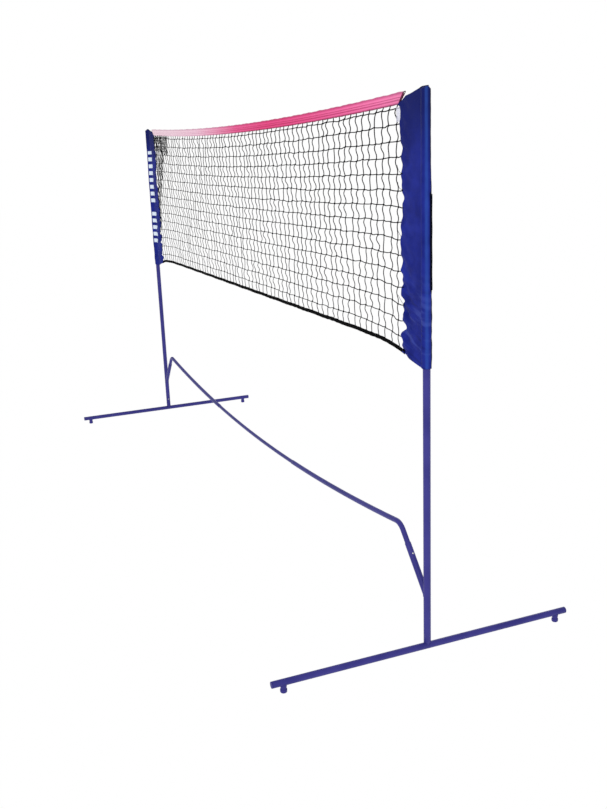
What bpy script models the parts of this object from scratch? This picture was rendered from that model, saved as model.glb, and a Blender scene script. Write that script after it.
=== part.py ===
"""Free-standing mini badminton net on a tubular steel stand.

Frame: +X along the net, +Y across it, +Z up, origin on the floor midway between the posts.
Each end is a foot bar on two feet, a two-piece post on a welded spigot, and a welded brace stub.
A three-piece crossbar joins the stubs. The net hangs between two pocket sleeves that slip over
the posts from above. Push-fit tube joints are locked by spring buttons that are pressed inwards.
"""

import math

import bmesh
import bpy
from mathutils import Matrix, Vector

# Driving dimensions, in metres
POST_SPACING = 3.0
POST_HEIGHT = 1.572
POST_SPLIT = 0.930
BAR_LENGTH = 0.975
BAR_AXIS_Z = 0.031
GAP = 0.0003

# Tubes: outer radius and wall
POST_RADIUS, POST_WALL = 0.0105, 0.0012
SPIGOT_RADIUS, SPIGOT_WALL = 0.0090, 0.0012
BAR_RADIUS, BAR_WALL = 0.00975, 0.0012
STUB_RADIUS, STUB_WALL = 0.0093, 0.0010
ELBOW_RADIUS, ELBOW_WALL = 0.0080, 0.0009
CENTRE_RADIUS, CENTRE_WALL = 0.0068, 0.0009
ROUND_SIDES, BENT_SIDES, SMALL_SIDES = 24, 16, 12

POST_X = POST_SPACING / 2
SPIGOT_TOP = 0.135
POST_FOOT = BAR_AXIS_Z + BAR_RADIUS + 0.0012
FERRULE_REACH = 0.060
RIVET_RADIUS, RIVET_HEAD_RADIUS, RIVET_HEAD_HEIGHT = 0.0018, 0.0030, 0.0010
CAP_THICKNESS, CAP_CHAMFER = 0.003, 0.001
PLUG_DEPTH = 0.014

# Feet and their screws
FOOT_RADIUS = 0.010
FOOT_INSET = 0.036
FOOT_TOP = BAR_AXIS_Z - 0.0035
FOOT_RECESS_RADIUS, FOOT_RECESS_DEPTH = 0.0045, 0.004
SCREW_HEAD_RADIUS, SCREW_HEAD_HEIGHT = 0.0038, 0.0025
SCREW_HEAD_CHAMFER = 0.0006
SLOT_HALF, SLOT_DEPTH = 0.0005, 0.0012
SCREW_RADIUS, SCREW_CLEARANCE_RADIUS = 0.0020, 0.0024

# Crossbar: a shallow parabola between two elbows, each on a stub that leans inwards
BRACE_FOOT_Z = 0.186
BRACE_ANGLE = math.radians(47.3)
STUB_LENGTH = 0.168
ELBOW_START = 0.070
CROSSBAR_MID_Z = 0.275
CROSSBAR_RISE = 0.083
CROSSBAR_HALF_SPAN = 1.34
BEND_RADIUS = 0.050
SECTION_JOINT_X = 0.467
SECTION_OVERLAP = 0.050

# Snap buttons
BUTTON_RADIUS, BUTTON_HOLE_RADIUS = 0.0029, 0.0033
BUTTON_HOLE_REACH = 0.02
BUTTON_PROUD, BUTTON_DOME = 0.0015, 0.0011
FLANGE_RADIUS, FLANGE_HEIGHT, FLANGE_SEAT_DROP = 0.0040, 0.0009, 0.0016
BUTTON_TRAVEL = 0.003
BASE_BUTTON_Z = 0.083
MID_BUTTON_Z = 0.905
BRACE_BUTTON_REACH = 0.131
SPRING_WIDTH, SPRING_STOCK, SPRING_WALL_GAP = 0.004, 0.0005, 0.0011
SPRING_REACH, SPRING_BEND_RADIUS = 0.020, 0.0012

# Net, sleeves and trim
SLEEVE_TOP, SLEEVE_INNER_TOP = 1.582, 1.566
SLEEVE_BOTTOM, SLEEVE_INNER_BOTTOM = 0.856, 0.8815
SLEEVE_INNER_X = 1.3685
POCKET_RADIUS, POCKET_WALL = 0.0126, 0.0012
POCKET_HEADROOM = 0.0015
WEB_THICKNESS = 0.003
TRIM_MARGIN = 0.01
NET_END_X = SLEEVE_INNER_X - GAP
TAPE_MID_TOP, TAPE_SAG = 1.546, 0.030
TAPE_HEIGHT, TAPE_THICKNESS, TAPE_WALL = 0.034, 0.007, 0.001
HEADLINE_RADIUS = 0.002
NETTING_THICKNESS, NETTING_IN_TAPE = 0.0012, 0.008
BAND_MID_Z, BAND_END_DROP, BAND_DROP_LENGTH = 0.9035, 0.0195, 0.085
BAND_HEIGHT, BAND_THICKNESS = 0.0095, 0.003
CLOSURE_BOTTOM, CLOSURE_TOP = 1.072, 1.318
CLOSURE_WIDTH, CLOSURE_THICKNESS = 0.012, 0.0012
CLOSURE_ANGLE = math.radians(52)
PATCH_BOTTOM, PATCH_TOP, PATCH_WIDTH, PATCH_THICKNESS = 1.500, 1.540, 0.024, 0.0010

SIDES = {"left": -1, "right": 1}
ENDS = {"front": -1, "rear": 1}


def clear_scene():
    for obj in list(bpy.data.objects):
        bpy.data.objects.remove(obj, do_unlink=True)


def new_collection(name, hidden=False):
    collection = bpy.data.collections.new(name)
    collection.hide_render = hidden
    bpy.context.scene.collection.children.link(collection)
    return collection


def new_material(name, colour, roughness, metallic=0.0):
    material = bpy.data.materials.new(name)
    material.use_nodes = True
    shader = material.node_tree.nodes["Principled BSDF"]
    shader.inputs["Base Color"].default_value = (*colour, 1.0)
    shader.inputs["Roughness"].default_value = roughness
    shader.inputs["Metallic"].default_value = metallic
    return material


def finish(obj, material):
    """Put a finished piece in the net's collection with its own copy of a material."""
    own = material.copy()
    own.name = f"{obj.name}_{material.name}"
    obj.data.materials.clear()
    obj.data.materials.append(own)
    obj.data.shade_smooth()
    obj.data.set_sharp_from_angle(angle=math.radians(35))
    PARTS.objects.link(obj)
    return obj


def mesh_object(name, mesh_builder):
    """An object whose mesh is whatever the builder function puts into an empty bmesh."""
    shape = bmesh.new()
    mesh_builder(shape)
    mesh = bpy.data.meshes.new(name)
    shape.to_mesh(mesh)
    shape.free()
    return bpy.data.objects.new(name, mesh)


def along(direction):
    """Rotation that turns +Z to the given direction."""
    return Vector((0, 0, 1)).rotation_difference(Vector(direction)).to_matrix().to_4x4()


def rod(name, start, end, radius, sides=ROUND_SIDES):
    """A solid cylinder between two points."""
    start, end = Vector(start), Vector(end)
    place = Matrix.Translation((start + end) / 2) @ along(end - start)

    def build(shape):
        bmesh.ops.create_cone(
            shape,
            cap_ends=True,
            segments=sides,
            radius1=radius,
            radius2=radius,
            depth=(end - start).length,
            matrix=place,
        )

    return mesh_object(name, build)


def turned(name, seat, direction, profile, steps=ROUND_SIDES, closed=False):
    """A turned solid: a profile of (radius, height) points, from the top down its outer side,
    spun about a line through the seat. A closed profile makes a ring."""
    shape = bmesh.new()
    points = [shape.verts.new((radius, 0, height)) for radius, height in profile]
    for first, second in zip(points, points[1:] + points[:1] if closed else points[1:]):
        shape.edges.new((first, second))
    mesh = bpy.data.meshes.new(name)
    shape.to_mesh(mesh)
    shape.free()
    obj = bpy.data.objects.new(name, mesh)
    obj.matrix_world = Matrix.Translation(seat) @ along(direction)
    spin = obj.modifiers.new("spin", "SCREW")
    spin.steps = steps
    spin.render_steps = steps
    spin.use_merge_vertices = True
    spin.merge_threshold = 0.00001
    return obj


def block(name, corner, opposite, turn=0.0):
    """A box between two opposite corners, turned about the vertical through its centre."""
    low = Vector(map(min, corner, opposite))
    high = Vector(map(max, corner, opposite))
    place = Matrix.Translation((low + high) / 2) @ Matrix.Rotation(turn, 4, "Z")
    size = Matrix.Diagonal((*(high - low), 1.0))
    return mesh_object(name, lambda shape: bmesh.ops.create_cube(shape, size=1.0, matrix=place @ size))


def mesh_from_curve(name, curve):
    """Turn a curve into a welded mesh object at the same place."""
    source = bpy.data.objects.new(name + "_curve", curve)
    bpy.context.scene.collection.objects.link(source)
    bpy.context.view_layer.update()
    evaluated = source.evaluated_get(bpy.context.evaluated_depsgraph_get())
    mesh = bpy.data.meshes.new_from_object(evaluated)
    mesh.transform(source.matrix_world)
    bpy.data.objects.remove(source, do_unlink=True)
    shape = bmesh.new()
    shape.from_mesh(mesh)
    bmesh.ops.remove_doubles(shape, verts=shape.verts, dist=0.00001)
    shape.to_mesh(mesh)
    shape.free()
    return bpy.data.objects.new(name, mesh)


def point_outwards(mesh):
    shape = bmesh.new()
    shape.from_mesh(mesh)
    bmesh.ops.recalc_face_normals(shape, faces=shape.faces)
    shape.to_mesh(mesh)
    shape.free()


def path_curve(name, points, radius, sides, capped):
    curve = bpy.data.curves.new(name, "CURVE")
    curve.dimensions = "3D"
    curve.bevel_depth = radius
    curve.bevel_resolution = sides // 2 - 2
    curve.use_fill_caps = capped
    spline = curve.splines.new("POLY")
    spline.points.add(len(points) - 1)
    for slot, point in zip(spline.points, points):
        slot.co = (*point, 1.0)
    return curve


def tube(name, points, radius, wall, sides=ROUND_SIDES):
    """A hollow tube along a path: the outer skin, thickened inwards, open at both ends."""
    obj = mesh_from_curve(name, path_curve(name, points, radius, sides, capped=False))
    shell = obj.modifiers.new("wall", "SOLIDIFY")
    shell.thickness = wall
    shell.offset = -1.0
    shell.use_even_offset = True
    return obj


def cord(name, points, radius):
    return mesh_from_curve(name, path_curve(name, points, radius, sides=8, capped=True))


def outline_slab(name, outline, thickness):
    """A flat upright slab: an outline in the XZ plane, thickened evenly to both sides of Y = 0."""
    curve = bpy.data.curves.new(name, "CURVE")
    curve.dimensions = "2D"
    curve.fill_mode = "BOTH"
    curve.extrude = thickness / 2
    spline = curve.splines.new("POLY")
    spline.points.add(len(outline) - 1)
    for slot, (x, z) in zip(spline.points, outline):
        slot.co = (x, z, 0.0, 1.0)
    spline.use_cyclic_u = True
    obj = mesh_from_curve(name, curve)
    obj.data.transform(Matrix.Rotation(math.pi / 2, 4, "X"))
    point_outwards(obj.data)
    return obj


def boolean(obj, other, operation):
    """Cut or join with a helper, which goes to the hidden collection once."""
    if other.name not in CUTTERS.objects:
        CUTTERS.objects.link(other)
        other.hide_render = True
        other.display_type = "WIRE"
    step = obj.modifiers.new(operation.lower(), "BOOLEAN")
    step.operation = operation
    step.solver = "EXACT"
    step.object = other
    return obj


def cut(obj, *cutters):
    for cutter in cutters:
        boolean(obj, cutter, "DIFFERENCE")
    return obj


def join(obj, *others):
    for other in others:
        boolean(obj, other, "UNION")
    return obj


def spread(low, high, count):
    return [low + (high - low) * index / (count - 1) for index in range(count)]


# Curves that several pieces share


def tape_top(x):
    """The tape's upper edge hangs in a shallow parabola between the sleeves."""
    return TAPE_MID_TOP + TAPE_SAG * (x / NET_END_X) ** 2


def band_middle(x):
    """The bottom band is level but for its two ends, which drop to the sleeves."""
    return BAND_MID_Z - BAND_END_DROP * math.exp((abs(x) - NET_END_X) / BAND_DROP_LENGTH)


def crossbar_height(x):
    return CROSSBAR_MID_Z + CROSSBAR_RISE * (x / CROSSBAR_HALF_SPAN) ** 2


def brace_point(side, reach):
    """A point on the stub's axis, at a distance from the post's axis."""
    inwards = POST_X - reach * math.cos(BRACE_ANGLE)
    return Vector((side * inwards, 0, BRACE_FOOT_Z + reach * math.sin(BRACE_ANGLE)))


def brace_outward(side):
    """Unit normal of the stub in its own plane, up and away from the net."""
    return Vector((side * math.sin(BRACE_ANGLE), 0, math.cos(BRACE_ANGLE)))


def elbow_corner_x():
    """Where the stub's line meets the crossbar's parabola, by repeated halving."""
    low, high = 1.0, POST_X
    for _ in range(40):
        middle = (low + high) / 2
        line_z = BRACE_FOOT_Z + (POST_X - middle) * math.tan(BRACE_ANGLE)
        low, high = (middle, high) if line_z > crossbar_height(middle) else (low, middle)
    return low


def rounded_corner(before, corner, after, radius, steps):
    """Arc of the given radius that is tangent to both legs of a corner."""
    to_before = (before - corner).normalized()
    to_after = (after - corner).normalized()
    half = to_before.angle(to_after) / 2
    setback = radius / math.tan(half)
    centre = corner + (to_before + to_after).normalized() * radius / math.sin(half)
    first = corner + to_before * setback - centre
    last = corner + to_after * setback - centre
    sweep = first.angle(last)
    return [
        centre + (first * math.sin(sweep * (1 - t)) + last * math.sin(sweep * t)) / math.sin(sweep)
        for t in spread(0.0, 1.0, steps)
    ]


def elbow_path(side):
    corner_x = elbow_corner_x()
    corner = Vector((side * corner_x, 0, crossbar_height(corner_x)))
    beyond = Vector((side * (corner_x - 0.05), 0, crossbar_height(corner_x - 0.05)))
    start = brace_point(side, ELBOW_START)
    bend = rounded_corner(start, corner, beyond, BEND_RADIUS, 9)
    run = [
        Vector((side * x, 0, crossbar_height(x)))
        for x in spread(abs(bend[-1].x) - 0.03, SECTION_JOINT_X, 14)
    ]
    return [start, *bend, *run]


# Frame


def foot_centre(side, sign):
    return Vector((side * POST_X, sign * (BAR_LENGTH / 2 - FOOT_INSET), 0))


def foot_bar(name, side):
    x = side * POST_X
    reach = BAR_LENGTH / 2 - CAP_THICKNESS
    bar = tube(name, [(x, -reach, BAR_AXIS_Z), (x, reach, BAR_AXIS_Z)], BAR_RADIUS, BAR_WALL)
    for end, sign in ENDS.items():
        below = foot_centre(side, sign)
        axis_point = below + Vector((0, 0, BAR_AXIS_Z))
        cut(bar, rod(f"{name}_screw_hole_{end}", below, axis_point, SCREW_CLEARANCE_RADIUS, SMALL_SIDES))
    finish(bar, PAINT)


def plug_cap(name, seat, direction, tube_radius, wall):
    """A chamfered plastic cap on a tube's end, with a plug that fills the bore."""
    plug_radius = tube_radius - wall - GAP
    top = CAP_THICKNESS - GAP
    profile = [
        (0, top),
        (tube_radius - CAP_CHAMFER, top),
        (tube_radius, top - CAP_CHAMFER),
        (tube_radius, 0),
        (plug_radius, 0),
        (plug_radius, -PLUG_DEPTH),
        (0, -PLUG_DEPTH),
    ]
    finish(turned(name, seat, direction, profile), CAP_PLASTIC)


def bar_end_cap(name, side, sign):
    tube_end = sign * (BAR_LENGTH / 2 - CAP_THICKNESS + GAP)
    plug_cap(name, (side * POST_X, tube_end, BAR_AXIS_Z), (0, sign, 0), BAR_RADIUS, BAR_WALL)


def post_cap(name, side):
    tube_end = POST_HEIGHT - CAP_THICKNESS + GAP
    plug_cap(name, (side * POST_X, 0, tube_end), (0, 0, 1), POST_RADIUS, POST_WALL)


def foot(name, side, sign):
    """A round plastic foot, saddled to the bar, with a bore and a recess for its screw."""
    centre = foot_centre(side, sign)
    profile = [
        (SCREW_CLEARANCE_RADIUS, FOOT_TOP),
        (FOOT_RADIUS, FOOT_TOP),
        (FOOT_RADIUS, CAP_CHAMFER),
        (FOOT_RADIUS - CAP_CHAMFER, 0),
        (FOOT_RECESS_RADIUS, 0),
        (FOOT_RECESS_RADIUS, FOOT_RECESS_DEPTH),
        (SCREW_CLEARANCE_RADIUS, FOOT_RECESS_DEPTH),
    ]
    pad = turned(name, centre, (0, 0, 1), profile, closed=True)
    bar_line = centre + Vector((0, 0, BAR_AXIS_Z))
    run = Vector((0, 2 * FOOT_RADIUS, 0))
    saddle = rod(f"{name}_saddle", bar_line - run, bar_line + run, BAR_RADIUS + GAP)
    finish(cut(pad, saddle), CAP_PLASTIC)


def foot_screw(name, side, sign):
    """A pan-head screw, driven up through the foot, with a crossed recess in its head."""
    centre = foot_centre(side, sign)
    head_top = FOOT_RECESS_DEPTH - GAP
    head_bottom = head_top - SCREW_HEAD_HEIGHT
    tip = BAR_AXIS_Z - 0.001
    profile = [
        (0, tip),
        (SCREW_RADIUS, tip - 0.001),
        (SCREW_RADIUS, head_top),
        (SCREW_HEAD_RADIUS, head_top),
        (SCREW_HEAD_RADIUS, head_bottom + SCREW_HEAD_CHAMFER),
        (SCREW_HEAD_RADIUS - SCREW_HEAD_CHAMFER, head_bottom),
        (0, head_bottom),
    ]
    screw = turned(name, centre, (0, 0, 1), profile, SMALL_SIDES)
    arm = SCREW_HEAD_RADIUS * 0.55
    for label, (reach_x, reach_y) in {"slot_x": (arm, SLOT_HALF), "slot_y": (SLOT_HALF, arm)}.items():
        low = centre + Vector((-reach_x, -reach_y, head_bottom - SLOT_DEPTH))
        high = centre + Vector((reach_x, reach_y, head_bottom + SLOT_DEPTH))
        cut(screw, block(f"{name}_{label}", low, high))
    finish(screw, SCREW_STEEL)


def button_hole(name, centre, outward):
    """A cutter from a tube's axis outwards, through one side of both walls."""
    start = Vector(centre)
    return rod(name, start, start + Vector(outward) * BUTTON_HOLE_REACH, BUTTON_HOLE_RADIUS, BENT_SIDES)


def base_button_hole(side, part):
    centre = (side * POST_X, 0, BASE_BUTTON_Z)
    return button_hole(f"base_hole_{part}_{side}", centre, (-side, 0, 0))


def mid_button_hole(side, part):
    centre = (side * POST_X, 0, MID_BUTTON_Z)
    return button_hole(f"mid_hole_{part}_{side}", centre, (-side, 0, 0))


def brace_button_hole(side, part):
    centre = brace_point(side, BRACE_BUTTON_REACH)
    return button_hole(f"brace_hole_{part}_{side}", centre, brace_outward(side))


def post_spigot(name, side):
    """The short tube welded on the foot bar, cut to straddle it."""
    x = side * POST_X
    spigot = tube(name, [(x, 0, BAR_AXIS_Z), (x, 0, SPIGOT_TOP)], SPIGOT_RADIUS, SPIGOT_WALL)
    past = 2 * POST_RADIUS
    bar = rod(f"{name}_mouth", (x, -past, BAR_AXIS_Z), (x, past, BAR_AXIS_Z), BAR_RADIUS + GAP)
    finish(cut(spigot, bar, base_button_hole(side, "spigot")), PAINT)


def lower_post(name, side):
    x = side * POST_X
    post = tube(name, [(x, 0, POST_FOOT), (x, 0, POST_SPLIT)], POST_RADIUS, POST_WALL)
    finish(cut(post, base_button_hole(side, "post"), mid_button_hole(side, "post")), PAINT)


def post_ferrule(name, side):
    """The inner tube fixed in the upper post, which drops into the lower one."""
    x = side * POST_X
    span = [(x, 0, POST_SPLIT - FERRULE_REACH), (x, 0, POST_SPLIT + FERRULE_REACH)]
    ferrule = tube(name, span, SPIGOT_RADIUS, SPIGOT_WALL)
    finish(cut(ferrule, mid_button_hole(side, "ferrule"), rivet_hole(side, "ferrule")), BARE_STEEL)


def rivet_hole(side, part):
    start = Vector((side * POST_X, 0, POST_SPLIT + FERRULE_REACH / 2))
    past = start + Vector((0, 2 * POST_RADIUS, 0))
    return rod(f"rivet_hole_{part}_{side}", start, past, RIVET_RADIUS + GAP, SMALL_SIDES)


def upper_post(name, side):
    x = side * POST_X
    top = POST_HEIGHT - CAP_THICKNESS
    post = tube(name, [(x, 0, POST_SPLIT + GAP), (x, 0, top)], POST_RADIUS, POST_WALL)
    finish(cut(post, rivet_hole(side, "post")), PAINT)


def ferrule_rivet(name, side):
    """A dome-headed rivet through the upper post and its ferrule."""
    seat = (side * POST_X, 0, POST_SPLIT + FERRULE_REACH / 2)
    head_foot = POST_RADIUS + GAP
    head_top = head_foot + RIVET_HEAD_HEIGHT
    shank_end = SPIGOT_RADIUS - SPIGOT_WALL - 0.001
    profile = [
        (0, head_top),
        (RIVET_HEAD_RADIUS * 0.55, head_top - 0.0001),
        (RIVET_HEAD_RADIUS, head_foot + 0.0002),
        (RIVET_HEAD_RADIUS, head_foot),
        (RIVET_RADIUS, head_foot),
        (RIVET_RADIUS, shank_end),
        (0, shank_end),
    ]
    finish(turned(name, seat, (0, 1, 0), profile, SMALL_SIDES), SCREW_STEEL)


def brace_stub(name, side):
    """The leaning stub welded on the post, which holds the elbow's end."""
    stub = tube(name, [brace_point(side, 0), brace_point(side, STUB_LENGTH)], STUB_RADIUS, STUB_WALL)
    x, low, high = side * POST_X, BRACE_FOOT_Z - STUB_LENGTH / 2, BRACE_FOOT_Z + STUB_LENGTH / 2
    past = 2 * POST_RADIUS
    post = rod(f"{name}_mouth", (x, 0, low), (x, 0, high), POST_RADIUS + GAP)
    beyond = block(f"{name}_beyond", (x, -past, low), (x + side * past, past, high))
    finish(cut(stub, post, beyond, brace_button_hole(side, "stub")), PAINT)


def elbow_tube(name, side):
    elbow = tube(name, elbow_path(side), ELBOW_RADIUS, ELBOW_WALL, BENT_SIDES)
    finish(cut(elbow, brace_button_hole(side, "elbow")), PAINT)


def crossbar_centre():
    end = SECTION_JOINT_X + SECTION_OVERLAP
    path = [(x, 0, crossbar_height(x)) for x in spread(-end, end, 15)]
    finish(tube("crossbar_centre_tube", path, CENTRE_RADIUS, CENTRE_WALL, BENT_SIDES), PAINT)


# Snap buttons


def snap_button(name, centre, outward, outer_radius, bore_radius):
    """A domed button on a flange: it shows through both tubes and is pressed towards the axis."""
    tip = outer_radius + BUTTON_PROUD
    seat = bore_radius - FLANGE_SEAT_DROP
    profile = [
        (0, tip),
        (BUTTON_RADIUS * 0.6, tip - BUTTON_DOME * 0.2),
        (BUTTON_RADIUS, tip - BUTTON_DOME),
        (BUTTON_RADIUS, seat),
        (FLANGE_RADIUS, seat),
        (FLANGE_RADIUS, seat - FLANGE_HEIGHT),
        (0, seat - FLANGE_HEIGHT),
    ]
    finish(turned(name, centre, outward, profile, BENT_SIDES), SCREW_STEEL)


def button_spring(name, centre, outward, along_tube, bore_radius):
    """A bent leaf spring in the inner tube, drawn as it lies with the button pressed home."""
    centre, outward, axis = Vector(centre), Vector(outward), Vector(along_tube)
    across = axis.cross(outward).normalized() * SPRING_WIDTH / 2
    near = bore_radius - FLANGE_SEAT_DROP - FLANGE_HEIGHT - BUTTON_TRAVEL - GAP - SPRING_STOCK
    far = SPRING_WALL_GAP - bore_radius
    pad_start, pad_end = -0.005, 0.004
    profile = [(pad_start, near), (pad_end, near)]
    for angle in spread(math.pi / 2, -math.pi / 2, 7):
        reach = SPRING_REACH + SPRING_BEND_RADIUS * math.cos(angle)
        profile.append((reach, far / 2 + SPRING_BEND_RADIUS * math.sin(angle)))
    profile += [(pad_end, far), (pad_start, far)]
    line = [centre + axis * reach + outward * radius for reach, radius in profile]

    def build(shape):
        rails = [[shape.verts.new(point + offset) for point in line] for offset in (-across, across)]
        for index in range(len(line) - 1):
            corners = (rails[0][index], rails[0][index + 1], rails[1][index + 1], rails[1][index])
            shape.faces.new(corners)

    spring = mesh_object(name, build)
    leaf = spring.modifiers.new("stock", "SOLIDIFY")
    leaf.thickness = SPRING_STOCK
    leaf.offset = 0.0
    finish(spring, SPRING_STEEL)


def snap_joints(label, side):
    """The three buttons of one end and their springs."""
    inward = (-side, 0, 0)
    spigot_bore = SPIGOT_RADIUS - SPIGOT_WALL
    base, middle = (side * POST_X, 0, BASE_BUTTON_Z), (side * POST_X, 0, MID_BUTTON_Z)
    snap_button(f"base_button_{label}", base, inward, POST_RADIUS, spigot_bore)
    button_spring(f"base_button_spring_{label}", base, inward, (0, 0, 1), spigot_bore)
    snap_button(f"mid_button_{label}", middle, inward, POST_RADIUS, spigot_bore)
    button_spring(f"mid_button_spring_{label}", middle, inward, (0, 0, 1), spigot_bore)
    spot, outward = brace_point(side, BRACE_BUTTON_REACH), brace_outward(side)
    stub_line = (brace_point(side, 1) - brace_point(side, 0)).normalized()
    elbow_bore = ELBOW_RADIUS - ELBOW_WALL
    snap_button(f"brace_button_{label}", spot, outward, STUB_RADIUS, elbow_bore)
    button_spring(f"brace_button_spring_{label}", spot, outward, stub_line, elbow_bore)


# Net


def trim(name, side, pocket_z, inner_z, thickness):
    """A cutter along a sloping edge of the web, from pocket_z beside the pocket to inner_z at the
    web's inner edge. Its thickness lies above the edge, or below it if negative."""
    pocket_x = POST_X - POCKET_RADIUS
    slope = (pocket_z - inner_z) / (pocket_x - SLEEVE_INNER_X)
    span = (SLEEVE_INNER_X - TRIM_MARGIN, POST_X + 2 * POCKET_RADIUS)
    edge = [(x, inner_z + slope * (x - SLEEVE_INNER_X)) for x in span]
    corners = edge + [(x, z + thickness) for x, z in reversed(edge)]
    return outline_slab(name, [(side * x, z) for x, z in corners], 4 * POCKET_RADIUS)


def sleeve(name, side):
    """A pocket over the post, closed at the top, with a flat double web that carries the net."""
    x = side * POST_X
    pocket = rod(name, (x, 0, SLEEVE_BOTTOM), (x, 0, SLEEVE_TOP), POCKET_RADIUS + POCKET_WALL)
    inner_corner = (side * SLEEVE_INNER_X, -WEB_THICKNESS / 2, SLEEVE_BOTTOM + GAP)
    web = block(f"{name}_web", inner_corner, (x, WEB_THICKNESS / 2, SLEEVE_TOP - GAP))
    bore_end = POST_HEIGHT + POCKET_HEADROOM
    bore = rod(f"{name}_bore", (x, 0, SLEEVE_BOTTOM - TRIM_MARGIN), (x, 0, bore_end), POCKET_RADIUS)
    top = trim(f"{name}_top_trim", side, SLEEVE_TOP, SLEEVE_INNER_TOP, 0.05)
    hem = trim(f"{name}_hem_trim", side, SLEEVE_BOTTOM, SLEEVE_INNER_BOTTOM, -0.05)
    finish(cut(join(pocket, web), bore, top, hem), BLUE_CLOTH)


def closure_strip(name, side):
    """A hook-and-loop strip down the rear of the pocket."""
    turn = CLOSURE_ANGLE if side > 0 else math.pi - CLOSURE_ANGLE
    radius = POCKET_RADIUS + POCKET_WALL + GAP + CLOSURE_THICKNESS / 2
    centre = Vector((side * POST_X + radius * math.cos(turn), radius * math.sin(turn), 0))
    half = Vector((CLOSURE_THICKNESS / 2, CLOSURE_WIDTH / 2, (CLOSURE_TOP - CLOSURE_BOTTOM) / 2))
    centre.z = (CLOSURE_TOP + CLOSURE_BOTTOM) / 2
    finish(block(name, centre - half, centre + half, turn), BLACK_WEBBING)


def corner_patch(name, side):
    """A patch on the front of the netting, in its upper corner against the sleeve."""
    face = -NETTING_THICKNESS / 2 - GAP
    far = NET_END_X - PATCH_WIDTH
    corner = (side * NET_END_X, face, PATCH_BOTTOM)
    finish(block(name, corner, (side * far, face - PATCH_THICKNESS, PATCH_TOP)), PATCH_CLOTH)


def between(top, bottom, end_x=NET_END_X, count=61):
    """The closed outline between an upper and a lower curve."""
    across = spread(-end_x, end_x, count)
    return [(x, bottom(x)) for x in across] + [(x, top(x)) for x in reversed(across)]


def top_tape():
    outline = between(tape_top, lambda x: tape_top(x) - TAPE_HEIGHT, count=25)
    tape = outline_slab("top_tape", outline, TAPE_THICKNESS)
    channel = between(
        lambda x: tape_top(x) - TAPE_WALL,
        lambda x: tape_top(x) - TAPE_HEIGHT - 0.01,
        NET_END_X + 0.01,
        25,
    )
    slot = outline_slab("top_tape_channel", channel, TAPE_THICKNESS - 2 * TAPE_WALL)
    finish(cut(tape, slot), PINK_TAPE)


def headline_cord():
    drop = TAPE_WALL + GAP * 2 + HEADLINE_RADIUS
    end = NET_END_X - HEADLINE_RADIUS
    path = [(x, 0, tape_top(x) - drop) for x in spread(-end, end, 25)]
    finish(cord("headline_cord", path, HEADLINE_RADIUS), CORD_WHITE)


def netting():
    outline = between(
        lambda x: tape_top(x) - TAPE_HEIGHT + NETTING_IN_TAPE,
        lambda x: band_middle(x) + BAND_HEIGHT / 2 + GAP,
    )
    finish(outline_slab("net_mesh", outline, NETTING_THICKNESS), BLACK_NET)


def bottom_band():
    outline = between(
        lambda x: band_middle(x) + BAND_HEIGHT / 2,
        lambda x: band_middle(x) - BAND_HEIGHT / 2,
    )
    finish(outline_slab("bottom_band", outline, BAND_THICKNESS), BLACK_WEBBING)


def build_end(label, side):
    foot_bar(f"foot_bar_{label}", side)
    for end, sign in ENDS.items():
        bar_end_cap(f"bar_end_cap_{label}_{end}", side, sign)
        foot(f"foot_{label}_{end}", side, sign)
        foot_screw(f"foot_screw_{label}_{end}", side, sign)
    post_spigot(f"post_spigot_{label}", side)
    lower_post(f"lower_post_{label}", side)
    post_ferrule(f"post_ferrule_{label}", side)
    upper_post(f"upper_post_{label}", side)
    ferrule_rivet(f"ferrule_rivet_{label}", side)
    post_cap(f"post_cap_{label}", side)
    brace_stub(f"brace_stub_{label}", side)
    elbow_tube(f"elbow_tube_{label}", side)
    snap_joints(label, side)
    sleeve(f"sleeve_{label}", side)
    closure_strip(f"closure_strip_{label}", side)
    corner_patch(f"corner_patch_{label}", side)


def build():
    for label, side in SIDES.items():
        build_end(label, side)
    crossbar_centre()
    top_tape()
    headline_cord()
    netting()
    bottom_band()


clear_scene()
PARTS = new_collection("badminton_net")
CUTTERS = new_collection("cutters", hidden=True)
PAINT = new_material("indigo_paint", (0.053, 0.048, 0.265), 0.35, 0.2)
CAP_PLASTIC = new_material("indigo_plastic", (0.050, 0.045, 0.25), 0.45)
BARE_STEEL = new_material("zinc_plated_steel", (0.55, 0.56, 0.58), 0.35, 1.0)
SCREW_STEEL = new_material("bright_steel", (0.62, 0.62, 0.64), 0.28, 1.0)
SPRING_STEEL = new_material("spring_steel", (0.35, 0.36, 0.38), 0.32, 1.0)
BLUE_CLOTH = new_material("royal_blue_polyester", (0.010, 0.030, 0.33), 0.7)
PINK_TAPE = new_material("pink_tape", (0.80, 0.10, 0.33), 0.75)
BLACK_NET = new_material("black_twine", (0.012, 0.012, 0.014), 0.8)
BLACK_WEBBING = new_material("black_webbing", (0.015, 0.015, 0.017), 0.85)
PATCH_CLOTH = new_material("pale_patch", (0.75, 0.72, 0.80), 0.6)
CORD_WHITE = new_material("white_cord", (0.75, 0.75, 0.73), 0.8)
build()
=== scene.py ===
"""Looks of a free-standing mini badminton net on a tubular steel stand.

+X runs along the net, +Y across it, +Z up, and the origin is on the floor midway between the posts.
The stand and its snap buttons are painted and plated steel. The net hangs between two cloth sleeves.
"""

import math

import bmesh
import bpy
import numpy as np
from mathutils import Matrix, Vector


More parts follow.
